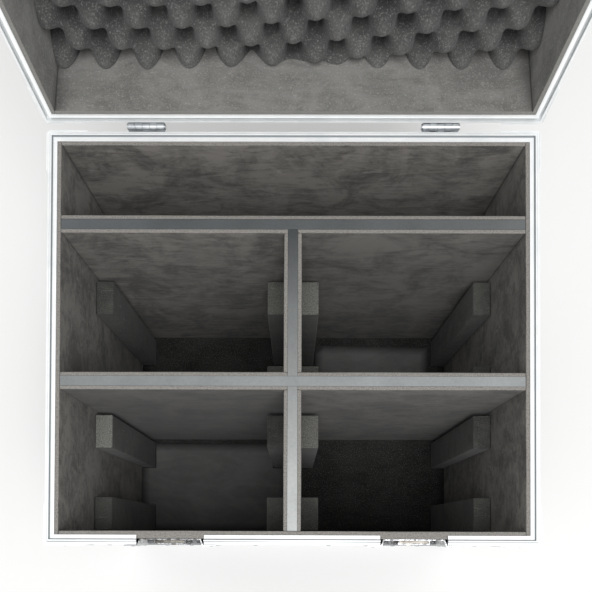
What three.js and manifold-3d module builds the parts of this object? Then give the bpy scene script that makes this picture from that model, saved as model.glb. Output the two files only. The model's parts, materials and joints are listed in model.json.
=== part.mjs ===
// An open flight case as an assembly of separate parts, in millimetres with +Z up.
// The origin is on the floor under the middle of the open case. +X is to the right, +Y to the hinges.
import * as THREE from "three";
import { mergeVertices } from "three/addons/utils/BufferGeometryUtils.js";
import Module from "manifold-3d";

const wasm = await Module();
wasm.setup();

// Driving sizes of the whole case
const caseWidth = 600; // over the aluminium, along X
const caseDepth = 504; // over the aluminium, along Y
const rimHeight = 414; // from the base panel's underside to the flat of the body's rim
const lidHeight = 117.5; // from the parting plane to the top of the lid
const openAngle = 98; // degrees that the lid stands open at rest
const partingGap = 0.5; // between the closed rims' flats

// Boards and aluminium sections
const boardThickness = 9;
const angleWall = 1.2;
const angleLeg = 30;
const angleRound = 3;
const rimOuterLeg = 22;
const rimInnerLeg = 12;
const tongueInset = 5.5; // from the rim's inner face
const tongueWidth = 2.5;
const tongueHeight = 3;
const rimBevel = 0.6;
const tonguePlay = 0.9; // between the tongue and each side of the lid's groove
const braceArm = 48;
const braceHeight = 38;
const braceThickness = 1.5;
const braceRound = 6;

// Clearances
const seat = 0.3; // between pieces that rest on or line each other
const turning = 0.15; // radial, between a pin and its bore

// Foam linings, dividers, pads and mats
const liningThickness = 5; // from the rim's inner face inwards
const floorLining = 5;
const dividerBoard = 12;
const rearDividerY = 138.5;
const middleDividerY = -53;
const topRecess = 1; // dividers and linings end this far below the rim's flat
const padWidth = 26;
const padLength = 48;
const padDrop = 129; // from the rim's flat to the tops of the pads
const rearPadSetback = 5; // pads of the middle bays stand this far off the rear divider
const frontPadSetback = 5; // and those of the front bays this far off the middle divider
const matThickness = 4;
const matMargin = 8;
const looseMatWidth = 211;
const looseMatDepth = 150;
const looseMatRound = 2;
const looseMatMargin = 2.5; // from the centre divider's pads
const looseMatY = 36;
const looseMatTurn = -0.8; // degrees

// Egg-crate foam in the lid
const foamBase = 20;
const foamBump = 30;
const bumpPitch = 49; // along X, and twice the step between staggered rows
const firstBumpRow = 3; // from the hinge side's lining
const bumpOffset = -3.7; // a valley of the first row lies this far off the middle

// Hinges
const hingeX = 179;
const hingeStandoff = 5.5; // from the rear face to the pin's axis
const hingeWidth = 44;
const hingeLeaf = 38;
const hingeSheet = 1.5;
const leafCorner = 4;
const knuckleRadius = 5;
const knuckleCount = 5;
const hingePinRadius = 2.5;
const pinHeadRadius = 3.4;
const pinHeadThickness = 1;

// Twist latches
const latchX = 147.5;
const latchSheet = 1.2;
const latchFlangeWidth = 112;
const latchFlangeDrop = 66;
const flangeRound = 12;
const keeperFlangeRise = 38;
const latchMouthWidth = 78;
const latchMouthDrop = 57;
const keeperMouthRise = 26;
const latchPocketDepth = 7.5;
const pocketDraft = 3; // each wall leans in this far from mouth to floor
const pocketRound = 9;
const shaftDrop = 33; // from the parting plane to the rotor's axis
const discRadius = 11;
const discThickness = 1.6;
const postRadius = 2.8;
const shaftRadius = 4;
const eccentricity = 6;
const crankPinRadius = 2;
const latchTongueWidth = 35;
const latchTongueThickness = 1.4;
const tongueCorner = 4;
const latchTongueTail = 52; // tongue's lower end below the parting plane
const latchTongueTip = 1.5; // tongue's drawn-in tip below the parting plane
const hookDepth = 1.6;
const hookHeight = 3;
const ridgeDepth = 1.7;
const ridgeBottom = 3;
const ridgeHeight = 4;
const ridgeMargin = 1.5; // narrower than the tongue at each side
const bridgeTop = 1; // below the parting plane
const bridgeHeight = 9.4;
const wingHalfWidth = 19;
const wingDrop = 15;
const wingThickness = 1.8;
const barrelRadius = 1.5;
const barrelReach = 12;
const wingPinRadius = 1;
const clevisHalfWidth = 4;
const clevisWall = 0.9; // round the wing's barrels
const clevisProud = 0.1; // in front of them

// Recessed spring handles
const handleHeight = 285; // of the dish's centre
const handleFlangeWidth = 160;
const handleFlangeHeight = 110;
const handleMouthWidth = 132;
const handleMouthHeight = 84;
const handlePocketDepth = 13;
const bowRadius = 4;
const bowHalfWidth = 50;
const bowRise = 26; // pivot above the dish's centre
const bowFall = 22; // grip below the dish's centre
const bowBend = 7;
const stubReach = 63.5;
const earWidth = 8;
const earWall = 2.5; // round the bow's ends
const sleeveRadius = 6;
const sleeveHalfLength = 40;
const sleeveBevel = 1;

// Feet and ball corners
const footRadius = 19;
const footHeight = 12;
const footInsetX = 66;
const footInsetY = 64;
const footScrewRadius = 5;
const ballRadius = 19;
const ballInset = 11;
const cornerSheet = 1.5;
const cornerArm = 60;
const cornerArmWidth = 27;
const cornerChamfer = 5;
const cornerFillet = 13; // between a corner plate's arms

// Sizes that follow from those above
const skin = angleWall + seat;
const rimWidth = boardThickness + 2 * skin;
const outerX = caseWidth / 2;
const outerY = caseDepth / 2;
const innerX = outerX - rimWidth;
const innerY = outerY - rimWidth;
const boardOuterX = outerX - skin;
const boardOuterY = outerY - skin;
const boardInnerX = boardOuterX - boardThickness;
const boardInnerY = boardOuterY - boardThickness;
const liningX = innerX - liningThickness;
const liningY = innerY - liningThickness;
const floorTop = boardThickness + seat + floorLining;
const liningTop = rimHeight - topRecess;
const padTop = rimHeight - padDrop;
const legBottom = rimHeight - rimInnerLeg - seat;
const parting = rimHeight + partingGap;
const lidTop = parting + lidHeight;
const lidBoardOuter = lidTop - skin;
const lidBoardInner = lidBoardOuter - boardThickness;
const grooveDepth = tongueHeight + partingGap + tonguePlay;
const grooveInset = tongueInset - tonguePlay;
const grooveWidth = tongueWidth + 2 * tonguePlay;
const hingeY = outerY + hingeStandoff;
const latchFace = seat + latchSheet; // outer face of the flange, from the aluminium's outer face
const latchFloor = latchFace - latchPocketDepth;
const discBack = latchFloor + seat;
const discFront = discBack + discThickness;
const tongueBack = discFront + seat;
const tongueFront = tongueBack + latchTongueThickness;
const wingAxis = tongueFront + seat + barrelRadius;
const notchHalf = latchMouthWidth / 2 + latchSheet + 2 * seat;
const clevisHalfHeight = barrelRadius + clevisWall;
const clevisFront = wingAxis + barrelRadius + clevisProud;
const tongueTravel = 2 * eccentricity;
const handleFace = seat + latchSheet;
const handleFloor = handleFace - handlePocketDepth;
const bowDepth = handleFloor + sleeveRadius + seat;
const quarterTurn = Math.PI / 2;
const far = 1000; // beyond every piece, for the blocks that cut
const wide = [-far, far];

const finish = (color, roughness, metalness) =>
  new THREE.MeshStandardMaterial({ color, roughness, metalness });
const aluminium = finish(0xd5d8da, 0.3, 1);
const steel = finish(0xc4c6c8, 0.22, 1);
const phenolicBoard = finish(0x1d1d1e, 0.6, 0);
const dividerPly = finish(0x6f7a7d, 0.7, 0);
const liningFoam = finish(0x42413f, 0.95, 0);
const padFoam = finish(0x3a3a39, 0.95, 0);
const crateFoam = finish(0x4a4a4a, 0.95, 0);
const rubber = finish(0x161616, 0.8, 0);

// A closed three.js geometry as a solid that can be cut and joined.
function toSolid(geometry) {
  const bare = geometry.index ? geometry.toNonIndexed() : geometry.clone();
  bare.deleteAttribute("normal");
  bare.deleteAttribute("uv");
  const merged = mergeVertices(bare, 1e-4);
  const corners = merged.index.array;
  const kept = [];
  for (let i = 0; i < corners.length; i += 3) {
    const [a, b, c] = corners.slice(i, i + 3);
    if (a !== b && b !== c && c !== a) kept.push(a, b, c);
  }
  const vertProperties = merged.attributes.position.array;
  const triVerts = new Uint32Array(kept);
  return new wasm.Manifold(new wasm.Mesh({ numProp: 3, vertProperties, triVerts }));
}

// A solid back as a geometry that a mesh can hold.
function toGeometry(solid) {
  const { vertProperties, triVerts } = solid.getMesh();
  const geometry = new THREE.BufferGeometry();
  geometry.setAttribute("position", new THREE.BufferAttribute(vertProperties, 3));
  geometry.setIndex(new THREE.BufferAttribute(triVerts, 1));
  geometry.computeVertexNormals();
  return geometry;
}

const between = (a, b) => (a < b ? [a, b] : [b, a]);
const join = (...solids) => solids.reduce((a, b) => a.add(b));
const cut = (solid, ...tools) => tools.reduce((a, b) => a.subtract(b), solid);

// A named mesh of a solid, in a group.
function place(group, name, solid, material) {
  const mesh = new THREE.Mesh(toGeometry(solid), material);
  mesh.name = name;
  group.add(mesh);
  return mesh;
}

// A box between two limits on each axis.
function block([x0, x1], [y0, y1], [z0, z1]) {
  const box = new THREE.BoxGeometry(x1 - x0, y1 - y0, z1 - z0);
  return toSolid(box.translate((x0 + x1) / 2, (y0 + y1) / 2, (z0 + z1) / 2));
}

// An outline from [a, b] pairs.
const outline = (points) => new THREE.Shape(points.map(([a, b]) => new THREE.Vector2(a, b)));

// Turns an extrusion that was made along Z so that it runs along another axis.
// Along x, the outline's pairs are y and z. Along y they are x and z, and along z they are x and y.
const sectionPlanes = {
  x: [new THREE.Vector3(0, 1, 0), new THREE.Vector3(0, 0, 1), new THREE.Vector3(1, 0, 0)],
  y: [new THREE.Vector3(1, 0, 0), new THREE.Vector3(0, 0, 1), new THREE.Vector3(0, -1, 0)],
  z: [new THREE.Vector3(1, 0, 0), new THREE.Vector3(0, 1, 0), new THREE.Vector3(0, 0, 1)],
};

// A section carried along one axis, from one place to another.
function extrude(axis, shape, from, to, curveSegments = 4) {
  const options = { depth: to - from, bevelEnabled: false, curveSegments };
  const geometry = new THREE.ExtrudeGeometry(shape, options);
  const [across, up, along] = sectionPlanes[axis];
  const start = axis === "y" ? -to : from;
  geometry.translate(0, 0, start);
  geometry.applyMatrix4(new THREE.Matrix4().makeBasis(across, up, along));
  return toSolid(geometry);
}

// Points of a regular polygon round a centre.
function polygon(radius, sides, [a, b] = [0, 0]) {
  return Array.from({ length: sides }, (_, k) => {
    const angle = ((k + 0.5) * 2 * Math.PI) / sides;
    return [a + radius * Math.cos(angle), b + radius * Math.sin(angle)];
  });
}

// A round bar along one axis.
const rod = (axis, radius, from, to, centre, sides = 16) =>
  extrude(axis, outline(polygon(radius, sides, centre)), from, to);

// The corner radius of a faceted bore whose flats clear a pin by the running clearance.
const boreRadius = (pin, sides = 16) => (pin + turning) / Math.cos(Math.PI / sides);

// Points of a rectangle with round corners, anticlockwise.
function roundedRectangle([x0, x1], [y0, y1], radius, steps = 4) {
  const centres = [
    [x1 - radius, y1 - radius],
    [x0 + radius, y1 - radius],
    [x0 + radius, y0 + radius],
    [x1 - radius, y0 + radius],
  ];
  return centres.flatMap(([x, y], corner) =>
    Array.from({ length: steps + 1 }, (_, k) => {
      const angle = ((corner + k / steps) * Math.PI) / 2;
      return [x + radius * Math.cos(angle), y + radius * Math.sin(angle)];
    }),
  );
}

// A closed solid through rings of equal point counts, each anticlockwise seen from the last one.
function loft(rings) {
  const count = rings[0].length;
  const centre = (ring) =>
    ring[0].map((_, axis) => ring.reduce((sum, point) => sum + point[axis], 0) / count);
  const positions = [...rings.flat(), centre(rings[0]), centre(rings.at(-1))].flat();
  const first = rings.length * count;
  const last = first + 1;
  const top = first - count;
  const index = [];
  for (let i = 0; i < count; i++) {
    const j = (i + 1) % count;
    index.push(first, j, i, last, top + i, top + j);
    for (let base = 0; base < top; base += count) {
      index.push(base + i, base + j, base + count + j);
      index.push(base + i, base + count + j, base + count + i);
    }
  }
  const geometry = new THREE.BufferGeometry();
  geometry.setAttribute("position", new THREE.Float32BufferAttribute(positions, 3));
  geometry.setIndex(index);
  return toSolid(geometry);
}

// A section mitred round the case. Each [u, z] of the profile lies u outside the rim's inner face.
function mitredFrame(profile) {
  const corners = [[1, 1], [-1, 1], [-1, -1], [1, -1]];
  const positions = corners.flatMap(([sx, sy]) =>
    profile.flatMap(([u, z]) => [sx * (innerX + u), sy * (innerY + u), z]),
  );
  const count = profile.length;
  const index = [];
  for (let corner = 0; corner < corners.length; corner++) {
    const here = corner * count;
    const next = ((corner + 1) % corners.length) * count;
    for (let i = 0; i < count; i++) {
      const j = (i + 1) % count;
      index.push(here + i, next + i, next + j, here + i, next + j, here + j);
    }
  }
  const geometry = new THREE.BufferGeometry();
  geometry.setAttribute("position", new THREE.Float32BufferAttribute(positions, 3));
  geometry.setIndex(index);
  return toSolid(geometry);
}

// Points of a quarter turn between two directions, for a rounded corner of a profile.
function quarter([a, b], radius, fromDegrees, toDegrees, steps = 3) {
  return Array.from({ length: steps + 1 }, (_, k) => {
    const angle = THREE.MathUtils.degToRad(fromDegrees + ((toDegrees - fromDegrees) * k) / steps);
    return [a + radius * Math.cos(angle), b + radius * Math.sin(angle)];
  });
}

// Corner braces of a rim: the corners of a round-cornered band outside the aluminium.
// They are one with the rim's leg, and clear the angles that they cover over another stretch.
function rimBraces(low, high, [angleLow, angleHigh]) {
  const reachX = outerX + braceThickness;
  const reachY = outerY + braceThickness;
  const outside = roundedRectangle([-reachX, reachX], [-reachY, reachY], braceRound);
  const band = cut(
    extrude("z", outline(outside), low, high),
    block([-outerX, outerX], [-outerY, outerY], wide),
    block([-outerX - seat, outerX + seat], [-outerY - seat, outerY + seat], [angleLow, angleHigh]),
  );
  const braces = [];
  for (const sx of [1, -1])
    for (const sy of [1, -1]) {
      const x = between(sx * (outerX - braceArm), sx * far);
      const y = between(sy * (outerY - braceArm), sy * far);
      braces.push(band.intersect(block(x, y, [low, high])));
    }
  return braces;
}

// The gaps that the latches' dishes need in the front of a rim or board.
const latchNotches = (low, high) =>
  [-latchX, latchX].map((x) =>
    block([x - notchHalf, x + notchHalf], [-far, -liningY], [low, high]),
  );

// Body of the case: panels, edge angles and rim

function basePanel() {
  return block([-boardOuterX, boardOuterX], [-boardOuterY, boardOuterY], [0, boardThickness]);
}

const panelBottom = boardThickness + seat;
const panelTop = rimHeight - skin;

function sidePanel(side) {
  const x = between(side * boardInnerX, side * boardOuterX);
  const panel = block(x, [-boardOuterY, boardOuterY], [panelBottom, panelTop]);
  return cut(panel, handleHole(x));
}

// The hole that a handle's dish passes through, over a stretch of x.
function handleHole(x) {
  const halfWidth = handleMouthWidth / 2 + latchSheet + 2 * seat;
  const halfHeight = handleMouthHeight / 2 + latchSheet + 2 * seat;
  return block(x, [-halfWidth, halfWidth], [handleHeight - halfHeight, handleHeight + halfHeight]);
}

const endHalfWidth = boardInnerX - seat;

function backPanel() {
  return block([-endHalfWidth, endHalfWidth], [boardInnerY, boardOuterY], [panelBottom, panelTop]);
}

function frontPanel() {
  const y = [-boardOuterY, -boardInnerY];
  const panel = block([-endHalfWidth, endHalfWidth], y, [panelBottom, panelTop]);
  const holeBottom = rimHeight - latchMouthDrop - latchSheet - 2 * seat;
  return cut(panel, ...latchNotches(holeBottom, rimHeight));
}

// An angle section round the case, with one leg up the sides and one over a face.
// Direction is 1 where the sides rise from the face, and -1 where they hang from it.
function faceAngle(faceZ, direction) {
  const z = (height) => faceZ + direction * height;
  const profile = [
    ...quarter([rimWidth - angleRound, angleRound], angleRound, -90, 0),
    [rimWidth, angleLeg],
    [rimWidth - angleWall, angleLeg],
    [rimWidth - angleWall, angleWall],
    [rimWidth - angleLeg, angleWall],
    [rimWidth - angleLeg, 0],
  ].map(([u, height]) => [u, z(height)]);
  return mitredFrame(direction > 0 ? profile : profile.reverse());
}

// The four upright angles between two heights.
function uprightAngles(low, high) {
  const section = [
    [outerX, outerY - angleLeg],
    ...quarter([outerX - angleRound, outerY - angleRound], angleRound, 0, 90),
    [outerX - angleLeg, outerY],
    [outerX - angleLeg, outerY - angleWall],
    [outerX - angleWall, outerY - angleWall],
    [outerX - angleWall, outerY - angleLeg],
  ];
  const uprights = [];
  for (const sx of [1, -1])
    for (const sy of [1, -1])
      uprights.push(extrude("z", outline(section.map(([x, y]) => [sx * x, sy * y])), low, high));
  return uprights;
}

function bodyEdgeFrame() {
  const overlap = angleLeg - 2 * skin;
  return join(faceAngle(-skin, 1), ...uprightAngles(overlap, rimHeight - rimOuterLeg - seat));
}

// The body's closing section: a tongue stands on its flat, and its legs hold the panels.
function bodyRimRing() {
  const tongueOuter = tongueInset + tongueWidth;
  const profile = [
    [0, -rimInnerLeg],
    [angleWall, -rimInnerLeg],
    [angleWall, -angleWall],
    [rimWidth - angleWall, -angleWall],
    [rimWidth - angleWall, -rimOuterLeg],
    [rimWidth, -rimOuterLeg],
    [rimWidth, -rimBevel],
    [rimWidth - rimBevel, 0],
    [tongueOuter, 0],
    [tongueOuter, tongueHeight - rimBevel],
    [tongueOuter - rimBevel, tongueHeight],
    [tongueInset + rimBevel, tongueHeight],
    [tongueInset, tongueHeight - rimBevel],
    [tongueInset, 0],
    [0, 0],
  ].map(([u, height]) => [u, rimHeight + height]);
  return mitredFrame(profile);
}

// The lid's closing section: a groove takes the tongue, and its legs hold the lid's walls.
function lidRimRing() {
  const web = grooveDepth + angleWall;
  const profile = [
    [0, 0],
    [grooveInset, 0],
    [grooveInset, grooveDepth],
    [grooveInset + grooveWidth, grooveDepth],
    [grooveInset + grooveWidth, 0],
    [rimWidth - rimBevel, 0],
    [rimWidth, rimBevel],
    [rimWidth, rimOuterLeg],
    [rimWidth - angleWall, rimOuterLeg],
    [rimWidth - angleWall, web],
    [angleWall, web],
    [angleWall, rimInnerLeg],
    [0, rimInnerLeg],
  ].map(([u, height]) => [u, parting + height]);
  return mitredFrame(profile);
}

// A rim cut at the latches, as its long part with the braces and its short front part.
function splitRim(ring, braces, low, high) {
  const middle = latchX - notchHalf;
  const frontY = [-far, -liningY];
  const whole = join(ring, ...braces);
  const gap = block([-latchX - notchHalf, latchX + notchHalf], frontY, [low, high]);
  const keep = block([-middle, middle], frontY, [low, high]);
  return { main: cut(whole, gap), front: ring.intersect(keep) };
}

// Feet and ball corners

function foot() {
  const lip = 2;
  const recess = footHeight / 2;
  const profile = [
    [0, recess - footHeight],
    [footScrewRadius, recess - footHeight],
    [footScrewRadius, -footHeight],
    [footRadius - 2 * lip, -footHeight],
    [footRadius - lip, lip - footHeight],
    [footRadius, 0],
    [0, 0],
  ].map(([r, z]) => new THREE.Vector2(r, z));
  return toSolid(new THREE.LatheGeometry(profile, 20).rotateX(quarterTurn));
}

// One face plate of a ball corner, in the plane above the case's face.
function cornerPlate() {
  const edge = seat + cornerSheet;
  const chamfer = cornerChamfer;
  const inside = cornerArmWidth + cornerFillet;
  return outline([
    [edge, edge],
    [-cornerArm + chamfer, edge],
    [-cornerArm, edge - chamfer],
    [-cornerArm, chamfer - cornerArmWidth],
    [chamfer - cornerArm, -cornerArmWidth],
    ...quarter([-inside, -inside], cornerFillet, 90, 0),
    [-cornerArmWidth, chamfer - cornerArm],
    [chamfer - cornerArmWidth, -cornerArm],
    [edge - chamfer, -cornerArm],
    [edge, -cornerArm + chamfer],
  ]);
}

// A pressed corner with a ball, for the case corner that lies at the origin and fills the octant below.
function ballCorner() {
  const edge = seat + cornerSheet;
  const plate = cornerPlate();
  const swap = outline(plate.getPoints().map(({ x, y }) => [y, x]));
  const ball = new THREE.SphereGeometry(ballRadius, 14, 9);
  const body = join(
    toSolid(ball.translate(-ballInset, -ballInset, -ballInset)),
    extrude("z", plate, 0, edge),
    extrude("x", plate, 0, edge),
    extrude("y", swap, 0, edge),
  );
  const reach = [-caseWidth, seat];
  return cut(body, block(reach, reach, reach));
}

// Dividers and linings of the body

const dividerEnd = liningX - seat;
const halfBoard = dividerBoard / 2;
const dividerBottom = floorTop + seat;
const halvingHeight = (dividerBottom + liningTop) / 2;
const dividerFace = halfBoard + liningThickness;

function rearDivider() {
  const y = [rearDividerY - halfBoard, rearDividerY + halfBoard];
  return block([-dividerEnd, dividerEnd], y, [dividerBottom, liningTop]);
}

// The middle and centre dividers cross in a halving joint: one is slotted from below, one from above.
function middleDivider() {
  const y = [middleDividerY - halfBoard, middleDividerY + halfBoard];
  const board = block([-dividerEnd, dividerEnd], y, [dividerBottom, liningTop]);
  const slot = [-halfBoard - seat, halfBoard + seat];
  return cut(board, block(slot, y, [0, halvingHeight + seat]));
}

function centreDivider() {
  const front = seat - liningY;
  const back = rearDividerY - halfBoard - seat;
  const board = block([-halfBoard, halfBoard], [front, back], [dividerBottom, liningTop]);
  const slot = [middleDividerY - halfBoard - seat, middleDividerY + halfBoard + seat];
  return cut(board, block([-halfBoard, halfBoard], slot, [halvingHeight, rimHeight]));
}

// Front wall, floor and back wall in one sheet, with the sheet on the rear divider's back.
function caseLining() {
  const wall = boardInnerY - seat;
  const upper = innerY - seat;
  const bottom = panelBottom;
  const dividerBack = rearDividerY + halfBoard + seat;
  const profile = outline([
    [-wall, bottom],
    [wall, bottom],
    [wall, legBottom],
    [upper, legBottom],
    [upper, liningTop],
    [liningY, liningTop],
    [liningY, floorTop],
    [dividerBack + liningThickness - seat, floorTop],
    [dividerBack + liningThickness - seat, liningTop],
    [dividerBack, liningTop],
    [dividerBack, floorTop],
    [-liningY, floorTop],
    [-liningY, liningTop],
    [-upper, liningTop],
    [-upper, legBottom],
    [-wall, legBottom],
  ]);
  return join(extrude("x", profile, -dividerEnd, dividerEnd), ...latchPackings());
}

// Foam that fills the front panel's cut-outs behind the latches.
function latchPackings() {
  const half = notchHalf - 2 * seat;
  const face = -outerY - latchFloor + latchSheet + seat;
  const low = rimHeight - latchMouthDrop;
  return [-latchX, latchX].map((x) =>
    block([x - half, x + half], [face, -liningY - 1], [low, liningTop]),
  );
}

// The pads of a bay's corners along one wall, between the bay's front and back linings.
function bayPads(x, front, back, backSetback, frontLength) {
  const top = [floorTop + seat, padTop];
  return [
    block(x, [back - backSetback - padLength, back - backSetback], top),
    block(x, [front, front + frontLength], top),
  ];
}

// Middle bays run between the middle and rear dividers, front bays from the front wall.
const middleBay = {
  front: middleDividerY + dividerFace,
  back: rearDividerY - dividerFace,
  setback: rearPadSetback,
  frontPad: padLength - rearPadSetback,
};
const frontBay = {
  front: -liningY,
  back: middleDividerY - dividerFace,
  setback: frontPadSetback,
  frontPad: padLength,
};

function padsAlong(x, bay, endGap) {
  return bayPads(x, bay.front + endGap, bay.back - endGap, bay.setback, bay.frontPad);
}

// A side wall's lining with the pads of both bays glued to it.
// The middle left bay has no pad in the wall's front corner.
function sideLining(side) {
  const wall = boardInnerX - seat;
  const upper = innerX - seat;
  const section = [
    [liningX, panelBottom],
    [wall, panelBottom],
    [wall, legBottom],
    [upper, legBottom],
    [upper, liningTop],
    [liningX, liningTop],
  ].map(([x, z]) => [side * x, z]);
  const end = boardInnerY - seat;
  const sheet = extrude("y", outline(section), -end, end);
  const legEnds = [-1, 1].map((sy) =>
    block(wide, between(sy * (innerY - seat), sy * far), [legBottom, rimHeight]),
  );
  const dishBack = outerX - skin + handleFloor - latchSheet - seat;
  const recess = between(side * dishBack, side * boardInnerX);
  const padX = between(side * (liningX - padWidth), side * (liningX + 1));
  const [rearPad, cornerPad] = padsAlong(padX, middleBay, seat);
  const middlePads = side < 0 ? [rearPad] : [rearPad, cornerPad];
  const pads = [...middlePads, ...padsAlong(padX, frontBay, seat)];
  return join(cut(sheet, ...legEnds, handleHole(recess)), ...pads);
}

// Linings of one bay on its dividers' faces, with the centre divider's two pads.
// The middle bays' lining wraps three faces and the front bays' two.
function bayLining(side, bay, wrapsBack) {
  const face = halfBoard + seat;
  const inside = dividerFace;
  const backOut = bay.back + liningThickness - seat;
  const frontOut = wrapsBack ? bay.front - liningThickness + seat : bay.front + seat;
  const atBack = [[dividerEnd, bay.back], [dividerEnd, backOut], [face, backOut]];
  const atFront = wrapsBack
    ? [[face, frontOut], [dividerEnd, frontOut], [dividerEnd, bay.front], [inside, bay.front]]
    : [[face, frontOut], [inside, frontOut]];
  const points = [...atBack, ...atFront, [inside, bay.back]].map(([x, y]) => [side * x, y]);
  const sheet = extrude("z", outline(points), dividerBottom, liningTop);
  const padX = between(side * (inside - 1), side * (inside + padWidth));
  return join(sheet, ...padsAlong(padX, bay, seat));
}

// A mat that covers a front bay's floor, cut out round its pads.
function fittedMat(side) {
  const near = dividerFace + seat;
  const wall = liningX - seat;
  const { front, back } = frontBay;
  const mat = block(
    between(side * near, side * wall),
    [front + 2 * seat, back - matMargin],
    [floorTop + seat, floorTop + seat + matThickness],
  );
  const clear = padWidth + 2 * seat;
  const padSpans = [
    [front, front + padLength + 2 * seat],
    [back - frontPadSetback - padLength - 2 * seat, back],
  ];
  const corners = padSpans.flatMap((y) => [
    block(between(side * near, side * (near + clear)), y, [0, rimHeight]),
    block(between(side * (wall - clear), side * wall), y, [0, rimHeight]),
  ]);
  return cut(mat, ...corners);
}

// A loose mat between the pads of a middle bay.
function looseMat() {
  const corners = roundedRectangle(
    [-looseMatWidth / 2, looseMatWidth / 2],
    [-looseMatDepth / 2, looseMatDepth / 2],
    looseMatRound,
    2,
  );
  return extrude("z", outline(corners), 0, matThickness);
}

// Lid

// The lid's top and four walls, glued up as one box.
function lidShell() {
  const wallBottom = parting + grooveDepth + angleWall + seat;
  const walls = mitredFrame([
    [skin, wallBottom],
    [skin + boardThickness, wallBottom],
    [skin + boardThickness, lidBoardOuter],
    [skin, lidBoardOuter],
  ]);
  const top = block(
    [-boardOuterX, boardOuterX],
    [-boardOuterY, boardOuterY],
    [lidBoardInner, lidBoardOuter],
  );
  const holeTop = parting + keeperMouthRise + latchSheet + 2 * seat;
  return cut(join(walls, top), ...latchNotches(rimHeight, holeTop));
}

function lidEdgeFrame() {
  const low = parting + rimOuterLeg + seat;
  return join(faceAngle(lidTop, -1), ...uprightAngles(low, lidTop - angleLeg + 2 * skin));
}

// Lining of the lid's walls, rebated behind the rim's inner leg.
function lidLining() {
  const legTop = parting + rimInnerLeg + seat;
  return mitredFrame([
    [-liningThickness, parting + seat],
    [-seat, parting + seat],
    [-seat, legTop],
    [skin - seat, legTop],
    [skin - seat, lidBoardInner - seat],
    [-liningThickness, lidBoardInner - seat],
  ]);
}

// Places of the foam's peaks and valleys along one direction, with the foam's two ends added.
function waveStops(low, high, first, step) {
  const stops = [];
  for (let at = first - step * Math.ceil((first - low) / step); at < high; at += step)
    if (at > low + step / 4 && at < high - step / 4) stops.push(at);
  return [low, ...stops, high];
}

// Egg-crate foam. Its height is the product of a cosine along each direction, so that rows of
// peaks are staggered, and each cell between two peaks and two valleys meets at its middle height.
function eggCrate() {
  const halfX = liningX - seat;
  const halfY = liningY - seat;
  const back = lidBoardInner - seat;
  const firstRow = liningY - firstBumpRow;
  const step = bumpPitch / 2;
  const xs = waveStops(-halfX, halfX, bumpOffset, step);
  const ys = waveStops(-halfY, halfY, firstRow, step);
  const swing = (distance) => Math.cos((Math.PI * distance) / step);
  const wave = (x, y) => -swing(x - bumpOffset) * swing(y - firstRow);
  const face = (x, y) => [x, y, back - foamBase - (foamBump * (1 + wave(x, y))) / 2];
  const positions = xs.flatMap((x) => ys.map((y) => face(x, y)));
  const at = (i, j) => i * ys.length + j;
  const index = [];
  const triangle = (...corners) => index.push(...corners);
  for (let i = 0; i + 1 < xs.length; i++)
    for (let j = 0; j + 1 < ys.length; j++) {
      const middle = positions.push(face((xs[i] + xs[i + 1]) / 2, (ys[j] + ys[j + 1]) / 2)) - 1;
      const ring = [at(i, j), at(i, j + 1), at(i + 1, j + 1), at(i + 1, j)];
      ring.forEach((corner, k) => triangle(middle, corner, ring[(k + 1) % 4]));
    }
  const border = [
    ...xs.map((_, i) => at(i, 0)),
    ...ys.slice(1).map((_, j) => at(xs.length - 1, j + 1)),
    ...xs.slice(1).map((_, i) => at(xs.length - 2 - i, ys.length - 1)),
    ...ys.slice(1, -1).map((_, j) => at(0, ys.length - 2 - j)),
  ];
  const centre = positions.push([0, 0, back]) - 1;
  const rim = border.map((v) => positions.push([positions[v][0], positions[v][1], back]) - 1);
  border.forEach((v, k) => {
    const n = (k + 1) % border.length;
    triangle(v, border[n], rim[n]);
    triangle(v, rim[n], rim[k]);
    triangle(centre, rim[k], rim[n]);
  });
  const geometry = new THREE.BufferGeometry();
  geometry.setAttribute("position", new THREE.Float32BufferAttribute(positions.flat(), 3));
  geometry.setIndex(index);
  return toSolid(geometry);
}

// Hinges, with the pin's axis at the origin along X and the case's rear face in front of it

const knucklePitch = hingeWidth / knuckleCount;

function knuckleSpans(first) {
  const spans = [];
  for (let k = first; k < knuckleCount; k += 2)
    spans.push([-hingeWidth / 2 + k * knucklePitch, -hingeWidth / 2 + (k + 1) * knucklePitch]);
  return spans;
}

// One leaf: up is 1 for the lid's and -1 for the body's. The other leaf's knuckles are cut out of it.
function leaf(up, ownFirst, otherFirst) {
  const half = hingeWidth / 2;
  const plate = outline([
    [-half, 0],
    [half, 0],
    [half, up * (hingeLeaf - leafCorner)],
    [half - leafCorner, up * hingeLeaf],
    [leafCorner - half, up * hingeLeaf],
    [-half, up * (hingeLeaf - leafCorner)],
  ]);
  const back = seat - hingeStandoff;
  const sheet = extrude("y", plate, back, back + hingeSheet);
  const clear = knuckleRadius + 2 * seat;
  const gaps = knuckleSpans(otherFirst).map((x) => block(x, [-far, clear], [-clear, clear]));
  const knuckles = knuckleSpans(ownFirst).map(([x0, x1]) =>
    rod("x", knuckleRadius, x0 + seat / 2, x1 - seat / 2),
  );
  const bore = rod("x", boreRadius(hingePinRadius), ...wide);
  return cut(join(cut(sheet, ...gaps), ...knuckles), bore);
}

function hingePin() {
  const half = hingeWidth / 2 + seat / 2;
  const head = half + pinHeadThickness;
  return join(
    rod("x", hingePinRadius, -half - seat, half + seat),
    rod("x", pinHeadRadius, half, head),
    rod("x", pinHeadRadius, -head, -half),
  );
}

// Pressed dishes, with X across, Y up and Z outwards from the face that the flange rests on

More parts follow.
